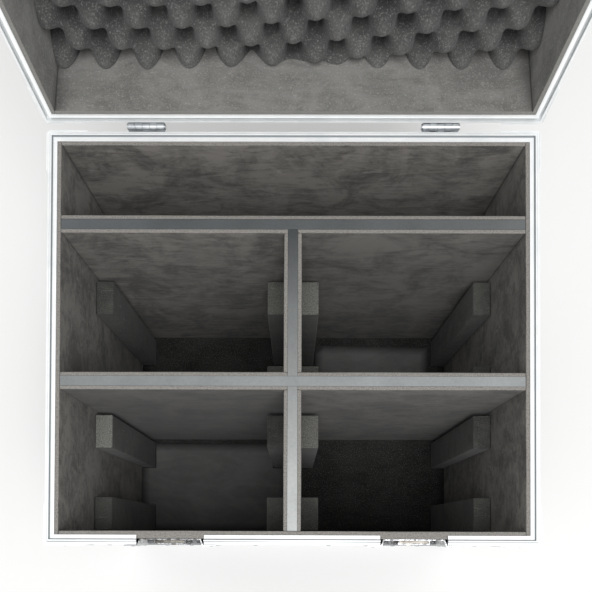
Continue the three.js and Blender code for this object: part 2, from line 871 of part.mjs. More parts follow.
// A flange round a pocket whose walls lean in to a flat floor.
function pressedDish(flange, x, y, face, floor) {
  const ring = (grow, z) => {
    const points = roundedRectangle(
      [x[0] - grow, x[1] + grow],
      [y[0] - grow, y[1] + grow],
      pocketRound + grow,
    );
    return points.map(([a, b]) => [a, b, z]);
  };
  const plate = extrude("z", outline(flange), face - latchSheet, face);
  const outside = loft([
    ring(latchSheet - pocketDraft, floor - latchSheet),
    ring(latchSheet, face - latchSheet / 2),
  ]);
  const hollow = loft([ring(-pocketDraft, floor), ring(0, face), ring(0, face + 1)]);
  return cut(join(plate, outside), hollow);
}

// Flange outline that is square at the parting plane and round at its far corners.
function latchFlange(from, to) {
  const half = latchFlangeWidth / 2;
  const turn = Math.sign(to - from);
  const centre = [half - flangeRound, to - turn * flangeRound];
  const right = quarter(centre, flangeRound, 0, turn * 90);
  return [[-half, from], [half, from], ...right, ...right.map(([x, y]) => [-x, y]).reverse()];
}

const mouthX = [-latchMouthWidth / 2, latchMouthWidth / 2];
const latchReach = 15; // pockets are made longer by this and cut off at the parting plane

// The latch's dish, with the bore of the rotor's shaft and a bridge that traps the tongue.
function latchDish() {
  const dish = pressedDish(
    latchFlange(latchReach, -latchFlangeDrop),
    mouthX,
    [-latchMouthDrop, latchReach + pocketRound],
    latchFace,
    latchFloor,
  );
  const inside = latchTongueWidth / 2 + seat;
  const under = tongueFront + seat;
  const outside = inside + latchSheet;
  const floorMiddle = latchFloor - latchSheet / 2;
  const bridge = cut(
    block([-outside, outside], [-bridgeHeight, -bridgeTop], [floorMiddle, under + latchSheet]),
    block([-inside, inside], wide, [-far, under]),
  );
  const bore = rod("z", boreRadius(shaftRadius), -rimWidth, 0, [0, -shaftDrop]);
  return cut(join(dish, bridge), bore, block(wide, [-seat, far], wide));
}

// The keeper's dish on the lid, with the ridge that the tongue's hook catches.
function keeperDish() {
  const dish = pressedDish(
    latchFlange(-latchReach, keeperFlangeRise),
    mouthX,
    [-latchReach - pocketRound, keeperMouthRise],
    latchFace,
    latchFloor,
  );
  const half = latchTongueWidth / 2 - ridgeMargin;
  const profile = outline([
    [ridgeBottom, latchFloor - latchSheet / 2],
    [ridgeBottom + ridgeHeight, latchFloor - latchSheet / 2],
    [ridgeBottom + ridgeHeight, latchFloor + ridgeDepth],
    [ridgeBottom + ridgeHeight / 4, latchFloor + ridgeDepth],
    [ridgeBottom, latchFloor + ridgeDepth / 2],
  ]);
  const ridge = extrude("x", profile, -half, half);
  return cut(join(dish, ridge), block(wide, [-far, partingGap + seat], wide));
}

// How far the crank pin strays from the middle of its slot, since the tongue is taken to move evenly.
function lostMotion() {
  const angle = Math.asin(2 / Math.PI);
  return eccentricity * ((2 * angle) / Math.PI - 1 + Math.cos(angle));
}

// The sliding tongue: a hook at its tip, and a cross-shaped window for the post and the crank pin.
function latchTongue() {
  const half = latchTongueWidth / 2;
  const plate = outline([
    [-half, tongueCorner - latchTongueTail],
    [tongueCorner - half, -latchTongueTail],
    [half - tongueCorner, -latchTongueTail],
    [half, tongueCorner - latchTongueTail],
    [half, -latchTongueTip],
    [-half, -latchTongueTip],
  ]);
  const hook = block(
    [-half, half],
    [-latchTongueTip - hookHeight, -latchTongueTip],
    [tongueBack - hookDepth, tongueBack + latchTongueThickness / 2],
  );
  const post = postRadius + 2 * seat;
  const through = [tongueBack - 1, tongueFront + 1];
  const postSlot = roundedRectangle(
    [-post, post],
    [-shaftDrop - tongueTravel - post, -shaftDrop + post],
    postRadius,
  );
  const crankWidth = eccentricity + crankPinRadius + 2 * seat;
  const crankHeight = crankPinRadius + lostMotion() + seat / 2;
  const crankSlot = roundedRectangle(
    [-crankWidth, crankWidth],
    [-shaftDrop - eccentricity - crankHeight, -shaftDrop - eccentricity + crankHeight],
    crankPinRadius,
  );
  return cut(
    join(extrude("z", plate, tongueBack, tongueFront), hook),
    extrude("z", outline(postSlot), ...through),
    extrude("z", outline(crankSlot), ...through),
  );
}

// The rotor turns about the shaft's axis: disc, shaft stub, post, crank pin and clevis.
function latchRotor() {
  const centre = [0, -shaftDrop];
  const crank = [0, -shaftDrop - eccentricity];
  const discMiddle = (discBack + discFront) / 2;
  const clevisBack = tongueFront + seat;
  const clevis = block(
    [-clevisHalfWidth, clevisHalfWidth],
    [-shaftDrop - clevisHalfHeight, -shaftDrop + clevisHalfHeight],
    [clevisBack, clevisFront],
  );
  const solid = join(
    rod("z", discRadius, discBack, discFront, centre, 24),
    rod("z", shaftRadius, latchFloor - latchSheet, discMiddle, centre),
    rod("z", postRadius, discMiddle, (clevisBack + clevisFront) / 2, centre, 12),
    rod("z", crankPinRadius, discMiddle, tongueFront + seat / 2, crank, 10),
    clevis,
  );
  return cut(solid, rod("x", boreRadius(wingPinRadius, 10), ...wide, [-shaftDrop, wingAxis], 10));
}

// The folding wing: a bow-tie plate on two barrels, with the pin that runs through the clevis.
function latchWing() {
  const inner = clevisHalfWidth + 1.5 * seat;
  const tip = wingHalfWidth;
  const lobe = tip * 0.6;
  const neck = tip * 0.25;
  const cheek = -wingDrop * 0.45;
  const waist = -wingDrop * 0.62;
  const plate = new THREE.Shape();
  plate.moveTo(-barrelReach, barrelRadius / 2);
  plate.quadraticCurveTo(-tip, 0, -tip, cheek);
  plate.quadraticCurveTo(-tip, -wingDrop, -lobe, -wingDrop);
  plate.quadraticCurveTo(-neck, waist, 0, waist);
  plate.quadraticCurveTo(neck, waist, lobe, -wingDrop);
  plate.quadraticCurveTo(tip, -wingDrop, tip, cheek);
  plate.quadraticCurveTo(tip, 0, barrelReach, barrelRadius / 2);
  const points = plate.getPoints(4).map(({ x, y }) => [x, y - shaftDrop]);
  const half = wingThickness / 2;
  const sheet = extrude("z", outline(points), wingAxis - half, wingAxis + half);
  const clear = clevisHalfHeight + barrelRadius;
  const gap = block([-inner, inner], [-shaftDrop - clear, -shaftDrop + clear], wide);
  const axis = [-shaftDrop, wingAxis];
  const barrels = [-1, 1].map((side) =>
    rod("x", barrelRadius, ...between(side * inner, side * barrelReach), axis, 12),
  );
  const pin = rod("x", wingPinRadius, -barrelReach, barrelReach, axis, 10);
  return join(cut(sheet, gap), ...barrels, pin);
}

// Handles, in the same axes as the dishes

// The handle's dish, with two ears that hold the bow's ends.
function handleDish() {
  const flange = roundedRectangle(
    [-handleFlangeWidth / 2, handleFlangeWidth / 2],
    [-handleFlangeHeight / 2, handleFlangeHeight / 2],
    flangeRound,
  );
  const dish = pressedDish(
    flange,
    [-handleMouthWidth / 2, handleMouthWidth / 2],
    [-handleMouthHeight / 2, handleMouthHeight / 2],
    handleFace,
    handleFloor,
  );
  const earInner = bowHalfWidth + bowBend + seat;
  const earHalf = bowRadius + earWall;
  const earZ = [handleFloor - latchSheet / 2, bowDepth + earHalf];
  const ears = [-1, 1].map((side) => {
    const x = between(side * earInner, side * (earInner + earWidth));
    return block(x, [bowRise - earHalf, bowRise + earHalf], earZ);
  });
  const reach = stubReach + seat;
  const bore = rod("x", boreRadius(bowRadius, 12), -reach, reach, [bowRise, bowDepth], 12);
  const stubBores = cut(bore, block([-earInner, earInner], wide, wide));
  return join(cut(dish, stubBores), cut(join(...ears), bore));
}

// A round bar along a path in the XY plane, with a ring of points at each of the path's corners.
function bentBar(path, radius, depth, sides) {
  const rings = path.map((point, i) => {
    const before = path[Math.max(i - 1, 0)];
    const after = path[Math.min(i + 1, path.length - 1)];
    const arriving = new THREE.Vector2(point[0] - before[0], point[1] - before[1]).normalize();
    const leaving = new THREE.Vector2(after[0] - point[0], after[1] - point[1]).normalize();
    const along = arriving.add(leaving).normalize();
    const [x, y] = point;
    return polygon(radius, sides).map(([a, b]) => [x - along.y * a, y + along.x * a, depth + b]);
  });
  return loft(rings);
}

// The steel bow: stubs in the ears, arms down to the grip, and rounded bends.
function handleBow() {
  const [x, top, low, r] = [bowHalfWidth, bowRise, -bowFall, bowBend];
  const rightHalf = [
    ...quarter([x - r, low + r], r, -90, 0, 4),
    ...quarter([x + r, top - r], r, 180, 90, 4),
    [stubReach, top],
  ];
  const leftHalf = rightHalf.map(([a, b]) => [-a, b]).reverse();
  return bentBar([...leftHalf, ...rightHalf], bowRadius, bowDepth, 10);
}

// The sleeve that is moulded round the grip.
function gripSleeve() {
  const bore = boreRadius(bowRadius, 12);
  const [end, shoulder] = [sleeveHalfLength, sleeveHalfLength - 2 * sleeveBevel];
  const profile = [
    [bore, -end],
    [sleeveRadius - sleeveBevel, -end],
    [sleeveRadius, -shoulder],
    [sleeveRadius, shoulder],
    [sleeveRadius - sleeveBevel, end],
    [bore, end],
    [bore, -end],
  ].map(([r, y]) => new THREE.Vector2(r, y));
  const sleeve = new THREE.LatheGeometry(profile, 12);
  return toSolid(sleeve.rotateZ(-quarterTurn).translate(0, -bowFall, bowDepth));
}

// Assembly

const sides = [["left", -1], ["right", 1]];

function addBody(group) {
  place(group, "base_panel", basePanel(), phenolicBoard);
  place(group, "front_panel", frontPanel(), phenolicBoard);
  place(group, "back_panel", backPanel(), phenolicBoard);
  for (const [name, side] of sides) place(group, `${name}_panel`, sidePanel(side), phenolicBoard);
  place(group, "body_edge_frame", bodyEdgeFrame(), aluminium);
  const legEnd = rimHeight - rimOuterLeg;
  const braces = rimBraces(rimHeight - braceHeight, rimHeight - seat, [legEnd - braceHeight, legEnd]);
  const rim = splitRim(bodyRimRing(), braces, rimHeight - braceHeight, rimHeight + tongueHeight + 1);
  place(group, "body_rim", rim.main, aluminium);
  place(group, "body_rim_front", rim.front, aluminium);
  addCorners(group, "body_ball_corner", -skin, Math.PI);
  for (const [endName, sy] of [["front", -1], ["rear", 1]])
    for (const [name, side] of sides) {
      const mesh = place(group, `foot_${endName}_${name}`, foot(), rubber);
      mesh.position.set(side * (outerX - footInsetX), sy * (outerY - footInsetY), 0);
    }
}

// Ball corners at the four corners of a face. Flip is 0 for a top face and half a turn for a bottom one.
function addCorners(group, prefix, z, flip) {
  const shape = ballCorner();
  for (let k = 0; k < 4; k++) {
    const corner = place(group, prefix, shape, steel);
    corner.rotation.set(flip, 0, k * quarterTurn, "ZYX");
    const outward = new THREE.Vector3(1, 1, 1).applyEuler(corner.rotation);
    corner.position.set(Math.sign(outward.x) * outerX, Math.sign(outward.y) * outerY, z);
    corner.name = `${prefix}_${outward.y > 0 ? "rear" : "front"}_${outward.x > 0 ? "right" : "left"}`;
  }
}

function addInterior(group) {
  place(group, "rear_divider", rearDivider(), dividerPly);
  place(group, "middle_divider", middleDivider(), dividerPly);
  place(group, "centre_divider", centreDivider(), dividerPly);
  place(group, "case_lining", caseLining(), liningFoam);
  for (const [name, side] of sides) {
    place(group, `${name}_lining`, sideLining(side), liningFoam);
    place(group, `middle_${name}_bay_lining`, bayLining(side, middleBay, true), liningFoam);
    place(group, `front_${name}_bay_lining`, bayLining(side, frontBay, false), liningFoam);
  }
  place(group, "front_left_mat", fittedMat(-1), padFoam);
  const loose = place(group, "middle_right_mat", looseMat(), padFoam);
  const padFace = dividerFace + padWidth;
  loose.position.set(padFace + looseMatMargin + looseMatWidth / 2, looseMatY, floorTop + seat);
  loose.rotation.z = THREE.MathUtils.degToRad(looseMatTurn);
}

function addLid(group) {
  place(group, "lid_shell", lidShell(), phenolicBoard);
  place(group, "lid_edge_frame", lidEdgeFrame(), aluminium);
  const legEnd = parting + rimOuterLeg;
  const braces = rimBraces(parting + seat, parting + braceHeight, [legEnd, legEnd + braceHeight]);
  const rim = splitRim(lidRimRing(), braces, parting - 1, parting + braceHeight);
  place(group, "lid_rim", rim.main, aluminium);
  place(group, "lid_rim_front", rim.front, aluminium);
  place(group, "lid_lining", lidLining(), liningFoam);
  place(group, "lid_foam", eggCrate(), crateFoam);
  addCorners(group, "lid_ball_corner", lidTop, 0);
}

// Each latch stands in a group whose Z points out of the front, at the parting plane.
function atFront(x) {
  const group = new THREE.Group();
  group.position.set(x, -outerY, rimHeight);
  group.rotation.x = quarterTurn;
  return group;
}

function addLatches(bodyGroup, lidGroup) {
  for (const [name, side] of sides) {
    const latch = atFront(side * latchX);
    place(latch, `${name}_latch_dish`, latchDish(), steel);
    place(latch, `${name}_latch_tongue`, latchTongue(), steel);
    place(latch, `${name}_latch_rotor`, latchRotor(), steel);
    place(latch, `${name}_latch_wing`, latchWing(), steel);
    bodyGroup.add(latch);
    const keeper = atFront(side * latchX);
    place(keeper, `${name}_latch_keeper`, keeperDish(), steel);
    lidGroup.add(keeper);
  }
}

function addHandles(group) {
  for (const [name, side] of sides) {
    const handle = new THREE.Group();
    place(handle, `${name}_handle_dish`, handleDish(), steel);
    place(handle, `${name}_handle_bow`, handleBow(), steel);
    place(handle, `${name}_handle_sleeve`, gripSleeve(), rubber);
    handle.position.set(side * boardOuterX, 0, handleHeight);
    const axes = [[0, side, 0], [0, 0, 1], [side, 0, 0]].map((axis) => new THREE.Vector3(...axis));
    handle.quaternion.setFromRotationMatrix(new THREE.Matrix4().makeBasis(...axes));
    group.add(handle);
  }
}

function addHinges(bodyGroup, turnedGroup) {
  for (const [name, side] of sides) {
    const fixed = new THREE.Group();
    fixed.position.set(side * hingeX, hingeY, rimHeight);
    place(fixed, `${name}_hinge_body_leaf`, leaf(-1, 0, 1), steel);
    place(fixed, `${name}_hinge_pin`, hingePin(), steel);
    bodyGroup.add(fixed);
    const moving = new THREE.Group();
    moving.position.set(side * hingeX, 0, 0);
    place(moving, `${name}_hinge_lid_leaf`, leaf(1, 1, 0), steel);
    turnedGroup.add(moving);
  }
}

const flightCase = new THREE.Group();
const bodyGroup = new THREE.Group();
const lidTurn = new THREE.Group(); // its origin lies on the hinges' axis
const lidGroup = new THREE.Group(); // holds the lid as it lies when closed
lidTurn.position.set(0, hingeY, rimHeight);
lidTurn.rotation.x = -THREE.MathUtils.degToRad(openAngle);
lidGroup.position.set(0, -hingeY, -rimHeight);
lidTurn.add(lidGroup);
flightCase.add(bodyGroup, lidTurn);
addBody(bodyGroup);
addInterior(bodyGroup);
addHandles(bodyGroup);
addLid(lidGroup);
addLatches(bodyGroup, lidGroup);
addHinges(bodyGroup, lidTurn);

// Everything above is placed from the centre of the base panel's underside. The open case is then
// moved so that the middle of its outline stands over the origin, with its feet on the floor.
const extent = new THREE.Box3().setFromObject(flightCase, true);
const middleY = (extent.min.y + extent.max.y) / 2;
for (const group of [bodyGroup, lidTurn]) {
  group.position.y -= middleY;
  group.position.z -= extent.min.z;
}

export default flightCase;
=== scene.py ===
"""Dresses an open, padded flight case: its metals, boards, foams and fasteners, and the studio round it."""

import json
import logging
import math
from dataclasses import dataclass, replace
from enum import Enum
from typing import Callable, Optional, Sequence, Union

import bmesh
import bpy
import numpy as np
from mathutils import Matrix, Vector

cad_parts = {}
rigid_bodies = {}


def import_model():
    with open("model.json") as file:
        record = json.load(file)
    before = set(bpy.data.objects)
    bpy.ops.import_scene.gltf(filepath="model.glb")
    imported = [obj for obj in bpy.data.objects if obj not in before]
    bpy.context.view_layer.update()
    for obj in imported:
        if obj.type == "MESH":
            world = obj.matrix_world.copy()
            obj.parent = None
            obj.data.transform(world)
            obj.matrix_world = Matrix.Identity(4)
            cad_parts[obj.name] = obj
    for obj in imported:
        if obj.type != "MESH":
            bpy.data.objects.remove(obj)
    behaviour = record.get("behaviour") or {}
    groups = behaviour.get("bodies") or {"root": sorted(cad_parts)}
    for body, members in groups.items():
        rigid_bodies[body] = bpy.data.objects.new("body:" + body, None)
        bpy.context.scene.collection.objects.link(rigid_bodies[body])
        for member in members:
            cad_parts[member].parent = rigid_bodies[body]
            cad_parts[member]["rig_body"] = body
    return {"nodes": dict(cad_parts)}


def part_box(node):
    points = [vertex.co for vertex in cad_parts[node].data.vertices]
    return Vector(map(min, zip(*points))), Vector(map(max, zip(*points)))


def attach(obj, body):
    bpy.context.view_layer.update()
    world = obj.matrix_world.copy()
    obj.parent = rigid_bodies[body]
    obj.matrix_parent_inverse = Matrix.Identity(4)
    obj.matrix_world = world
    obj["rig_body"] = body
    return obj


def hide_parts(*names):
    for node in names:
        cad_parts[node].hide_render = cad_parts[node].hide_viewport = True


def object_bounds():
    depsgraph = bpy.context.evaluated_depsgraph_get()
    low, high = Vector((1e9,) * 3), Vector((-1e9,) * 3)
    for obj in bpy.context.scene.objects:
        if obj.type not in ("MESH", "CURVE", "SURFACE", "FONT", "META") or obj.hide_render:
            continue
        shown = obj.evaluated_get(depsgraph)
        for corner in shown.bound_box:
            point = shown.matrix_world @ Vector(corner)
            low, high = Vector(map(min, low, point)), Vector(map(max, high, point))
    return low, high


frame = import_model()
CAD_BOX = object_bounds()

MM = 0.001
SHADER = "Principled BSDF"
Tree = bpy.types.NodeTree
Source = Union[bpy.types.Node, bpy.types.NodeSocket]  # what a node's input may be fed by
Colour = tuple[float, float, float, float]
Triple = tuple[float, float, float]
Pair = tuple[float, float]
Heights = Callable[[np.ndarray, np.ndarray], np.ndarray]  # a height at each place of two grids
Rows = tuple[np.ndarray, np.ndarray]  # places and normals
LOG = logging.getLogger("flight_case")


def base_centre() -> np.ndarray:
    """Where the centre of the base panel's underside lies, in millimetres. All places below are counted from it."""
    low, high = (np.array(corner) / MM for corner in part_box("base_panel"))
    return np.array([(low[0] + high[0]) / 2, (low[1] + high[1]) / 2, low[2]])


BASE = base_centre()


# Small tools


def hex_to_linear(code: str) -> Colour:
    """Turns an sRGB hex colour into the linear colour that a shader takes.

    Args:
        code: six hex digits after a hash sign.

    Returns:
        Linear red, green, blue and an alpha of one.
    """
    values = [int(code[i : i + 2], 16) / 255 for i in (1, 3, 5)]
    linear = [v / 12.92 if v <= 0.04045 else ((v + 0.055) / 1.055) ** 2.4 for v in values]
    return (*linear, 1.0)


def feed(tree: Tree, node: bpy.types.Node, inputs: dict) -> None:
    """Sets values and links of a node.

    Args:
        tree: the material's or world's node tree.
        node: the node that is fed.
        inputs: socket name or number to a value, to the output socket that feeds it, or to a node whose first
            output does.
    """
    for socket, value in inputs.items():
        if isinstance(value, bpy.types.Node):
            value = next(output for output in value.outputs if output.enabled)
        if isinstance(value, bpy.types.NodeSocket):
            tree.links.new(value, node.inputs[socket])
        else:
            node.inputs[socket].default_value = value


def add_node(tree: Tree, kind: str, inputs: Optional[dict] = None, **settings) -> bpy.types.Node:
    """Adds one node with its settings, its values and its links.

    Args:
        tree: the material's or world's node tree.
        kind: the node's type name.
        inputs: what its sockets get, as in feed.
        settings: attributes of the node itself.

    Returns:
        The new node.
    """
    node = tree.nodes.new(kind)
    for name, value in settings.items():
        setattr(node, name, value)
    feed(tree, node, inputs or {})
    return node


def two_tone(tree: Tree, factor: Source, low: str, high: str,
             span: Pair = (0.35, 0.65)) -> Source:
    """Blends two sRGB colours over a stretch of a factor.

    Args:
        tree: the material's node tree.
        factor: what drives the blend.
        low: hex colour below the stretch.
        high: hex colour above it.
        span: where the blend begins and ends.

    Returns:
        The node that gives the colour.
    """
    ramp = add_node(tree, "ShaderNodeValToRGB", {"Fac": factor})
    for element, place, code in zip(ramp.color_ramp.elements, span, (low, high)):
        element.position = place
        element.color = hex_to_linear(code)
    return ramp


def from_base(tree: Tree) -> Source:
    """Object coordinates counted from the centre of the base panel's underside."""
    place = add_node(tree, "ShaderNodeTexCoord").outputs["Object"]
    return add_node(tree, "ShaderNodeMapping", {"Vector": place, "Location": tuple(-BASE * MM)})


def put(name: str, data: bpy.types.ID) -> bpy.types.Object:
    """Puts a new object into the scene.

    Args:
        name: its name.
        data: its mesh, lamp or camera.

    Returns:
        The object.
    """
    thing = bpy.data.objects.new(name, data)
    bpy.context.scene.collection.objects.link(thing)
    return thing


def per_metre(millimetres: float) -> float:
    """Texture scale at which a pattern repeats about every so many millimetres."""
    return 1.0 / (millimetres * MM)


class Body(Enum):
    """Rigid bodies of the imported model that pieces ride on."""

    CASE = "case"
    LID = "lid"


class Side(Enum):
    """Left or right half of the case, seen from the latches."""

    LEFT = -1
    RIGHT = 1

    @property
    def word(self) -> str:
        """The side's name as nodes use it."""
        return self.name.lower()


# Finishes


@dataclass(frozen=True)
class Finish:
    """A surface of one real material, made on first use and shared after that."""

    label: str
    colour: str
    roughness: float
    metallic: float = 0.0

    def start(self, **values: float) -> tuple[Tree, Source]:
        """Makes the bare material.

        Args:
            values: further inputs of its shader, with underscores for spaces.

        Returns:
            Its node tree, and coordinates counted from the base panel's centre.
        """
        material = bpy.data.materials.new(self.label)
        material.use_nodes = True
        tree = material.node_tree
        plain = {"Base Color": hex_to_linear(self.colour), "Roughness": self.roughness, "Metallic": self.metallic}
        feed(tree, tree.nodes[SHADER], plain | {name.replace("_", " "): value for name, value in values.items()})
        material.diffuse_color = hex_to_linear(self.colour)
        return tree, from_base(tree)

    def finished(self, tree: Tree, colour: Source, relief: Source, strength: float, depth: float,
                 wear: Optional[Source] = None, span: Pair = (0.3, 0.7),
                 rougher: Pair = (0.0, 0.0), **settings) -> bpy.types.Material:
        """Gives the material its colour, its relief and where it has worn rougher.

        Args:
            tree: the material's node tree.
            colour: what feeds the colour.
            relief: the pattern that the surface is raised by.
            strength: how strongly the relief shows.
            depth: millimetres that it is deep.
            wear: the pattern that the roughness follows, if it isn't even.
            span: the least and most of that pattern.
            rougher: what is added to the roughness at those two.
            settings: attributes of the bump node.

        Returns:
            The material.
        """
        bump = add_node(tree, "ShaderNodeBump", {"Height": relief, "Strength": strength, "Distance": depth * MM},
                        **settings)
        feed(tree, tree.nodes[SHADER], {"Base Color": colour, "Normal": bump})
        if wear is not None:
            rough = add_node(tree, "ShaderNodeMapRange", {
                "Value": wear, "From Min": span[0], "From Max": span[1],
                "To Min": self.roughness + rougher[0], "To Max": self.roughness + rougher[1]})
            feed(tree, tree.nodes[SHADER], {"Roughness": rough})
        return bpy.data.materials[self.label]

    def build(self) -> bpy.types.Material:
        """Makes the material with its detail. Each kind of finish has its own."""
        raise NotImplementedError(self.label)

    def material(self) -> bpy.types.Material:
        """The shared material of this finish."""
        return bpy.data.materials.get(self.label) or self.build()


@dataclass(frozen=True)
class ExtrudedAluminium(Finish):
    """Clear-anodised aluminium extrusion: the matt oxide scatters most of the light, over faint die lines."""

    pale: str = "#FAFBFB"  # its lighter tone
    lines: float = 1.6  # mm between die lines, drawn coarser than the real 0.2 mm so that they show
    marks: float = 24.0  # mm across a cloudy patch
    inner: Pair = (288.0, 240.0)  # mm from the middle to the rims' inner faces
    creases: tuple[float, ...] = (5.25, 8.25)  # mm outside the inner face, at the roots of the closing tongue
    crease: str = "#8F9598"  # colour of the painted shade in the creases
    crease_width: float = 0.5  # mm to each side
    crease_top: float = 411.5  # mm up the case, above which the creases are painted in shade
    turned: bool = False  # whether it turns with the lid

    def build(self) -> bpy.types.Material:
        """Die lines follow each side of the frame, because the line's place is the distance outside the rim.

        That distance is the larger of |x| - inner x and |y| - inner y, which also mitres the lines at the corners.
        """
        tree, place = self.start()
        if self.turned:
            place = LidPlace().closed_coordinates(tree, place)
        axes = add_node(tree, "ShaderNodeSeparateXYZ", {0: place})
        outside = {}
        for k, inner in enumerate(self.inner):
            size = add_node(tree, "ShaderNodeMath", {0: axes.outputs[k]}, operation="ABSOLUTE")
            outside[k] = add_node(tree, "ShaderNodeMath", {0: size, 1: inner * MM}, operation="SUBTRACT")
        across = add_node(tree, "ShaderNodeMath", outside, operation="MAXIMUM")
        lines = add_node(tree, "ShaderNodeTexNoise", {"W": across, "Scale": per_metre(self.lines), "Detail": 2.0},
                         noise_dimensions="1D")
        cloud = add_node(tree, "ShaderNodeTexNoise", {
            "Vector": place, "Scale": per_metre(self.marks), "Detail": 5.0, "Roughness": 0.62})
        both = add_node(tree, "ShaderNodeMath", {0: lines, 1: cloud}, operation="ADD")
        half = add_node(tree, "ShaderNodeMath", {0: both, 1: 0.5}, operation="MULTIPLY")
        colour = two_tone(tree, half, self.colour, self.pale)
        # Painted shade: the creases beside the tongue and the lid's groove are darkened, standing in for their shadow.
        if self.creases:
            soil = self.soil(tree, across, axes.outputs["Z"])
            colour = add_node(tree, "ShaderNodeMix", {
                "Factor": soil, "A": colour, "B": hex_to_linear(self.crease)}, data_type="RGBA")
        return self.finished(tree, colour, lines, strength=0.12, depth=0.05, wear=half, rougher=(-0.06, 0.1))

    def soil(self, tree: Tree, across: Source, height: Source) -> Source:
        """How much painted shade darkens the creases beside the tongue, or the lid's groove.

        A place counts fully within the crease's width of it, and not below the height where the creases begin.

        Args:
            tree: the material's node tree.
            across: distance outside the rim's inner face, in metres.
            height: height on the closed case, in metres.

        Returns:
            A factor from 0 to 1.
        """
        total = 0.0
        for crease in self.creases:
            near = add_node(tree, "ShaderNodeMath", {0: across, 1: crease * MM, 2: self.crease_width * MM},
                            operation="COMPARE")
            total = add_node(tree, "ShaderNodeMath", {0: total, 1: near}, operation="MAXIMUM")
        above = add_node(tree, "ShaderNodeMath", {0: height, 1: self.crease_top * MM}, operation="GREATER_THAN")
        return add_node(tree, "ShaderNodeMath", {0: total, 1: above}, operation="MULTIPLY")


@dataclass(frozen=True)
class PlatedSteel(Finish):
    """Pressed and plated steel: bright, with a faint cloudy spangle from the bath and fine rub marks, and in a recess
    dark patches of painted shade.
    """

    spangle: float = 7.0  # mm across one patch
    rubs: float = 1.4  # mm between rub marks, drawn coarse
    shade: str = "#A9ADB1"
    recess: Optional[float] = None  # mm along the case behind which dark patches of painted shade lie in the recess
    patch: float = 5.0  # mm across a patch of painted shade
    # colour of the painted shade in the recess
    grime: str = "#24221F"

    def build(self) -> bpy.types.Material:
        """Cells of a random tone, softened by noise, turn the colour and roughness a little."""
        tree, place = self.start()
        warp, rubs = (
            add_node(tree, "ShaderNodeTexNoise", {"Vector": place, "Scale": per_metre(size), "Detail": 3.0})
            for size in (self.spangle * 2, self.rubs))
        patch = add_node(tree, "ShaderNodeTexVoronoi", {"Vector": place, "Scale": per_metre(self.spangle)})
        random = add_node(tree, "ShaderNodeSeparateColor", {0: patch.outputs["Color"]})
        mixed = add_node(tree, "ShaderNodeMix", {"Factor": 0.7, "A": random, "B": warp}, data_type="FLOAT")
        tone = self.grimed(tree, place, two_tone(tree, mixed, self.shade, self.colour, (0.2, 0.75)))
        return self.finished(tree, tone, rubs, strength=0.1, depth=0.05, wear=mixed, span=(0.2, 0.8),
                             rougher=(0.0, 0.12))

    def grimed(self, tree: Tree, place: Source, tone: Source) -> Source:
        """Dark patches of painted shade, behind the plane where the recess begins.

        Args:
            tree: the material's node tree.
            place: coordinates counted from the base panel's centre.
            tone: the clean colour.

        Returns:
            The colour with its painted shade.
        """
        if self.recess is None:
            return tone
        axes = add_node(tree, "ShaderNodeSeparateXYZ", {0: place})
        inside = add_node(tree, "ShaderNodeMath", {0: axes.outputs["Y"], 1: self.recess * MM},
                          operation="GREATER_THAN")
        patches = add_node(tree, "ShaderNodeTexNoise", {
            "Vector": place, "Scale": per_metre(self.patch), "Detail": 4.0, "Roughness": 0.7})
        amount = add_node(tree, "ShaderNodeMapRange", {
            "Value": patches, "From Min": 0.43, "From Max": 0.55, "To Min": 0.05, "To Max": 0.8})
        share = add_node(tree, "ShaderNodeMath", {0: amount, 1: inside}, operation="MULTIPLY")
        return add_node(tree, "ShaderNodeMix", {"Factor": share, "A": tone, "B": hex_to_linear(self.grime)},
                        data_type="RGBA")


@dataclass(frozen=True)
class FilmFacedBoard(Finish):
    """Birch plywood faced with black phenolic film: a fine pebbled press pattern that catches soft light."""

    scuffed: str = "#202122"
    pebble: float = 2.4  # mm, drawn a little coarser than the real 1.5 mm grain
    scuff: float = 60.0  # mm across a scuffed patch

    def build(self) -> bpy.types.Material:
        """Rounded pebbles from the distance to cell centres, over slow changes of tone."""
        tree, place = self.start(Specular_IOR_Level=0.35)
        pebbles = add_node(tree, "ShaderNodeTexVoronoi", {"Vector": place, "Scale": per_metre(self.pebble)},
                           feature="SMOOTH_F1")
        scuffs = add_node(tree, "ShaderNodeTexNoise", {
            "Vector": place, "Scale": per_metre(self.scuff), "Detail": 8.0, "Roughness": 0.7})
        colour = two_tone(tree, scuffs, self.colour, self.scuffed)
        return self.finished(tree, colour, pebbles, strength=0.5, depth=0.25, wear=scuffs, rougher=(-0.08, 0.12),
                             invert=True)


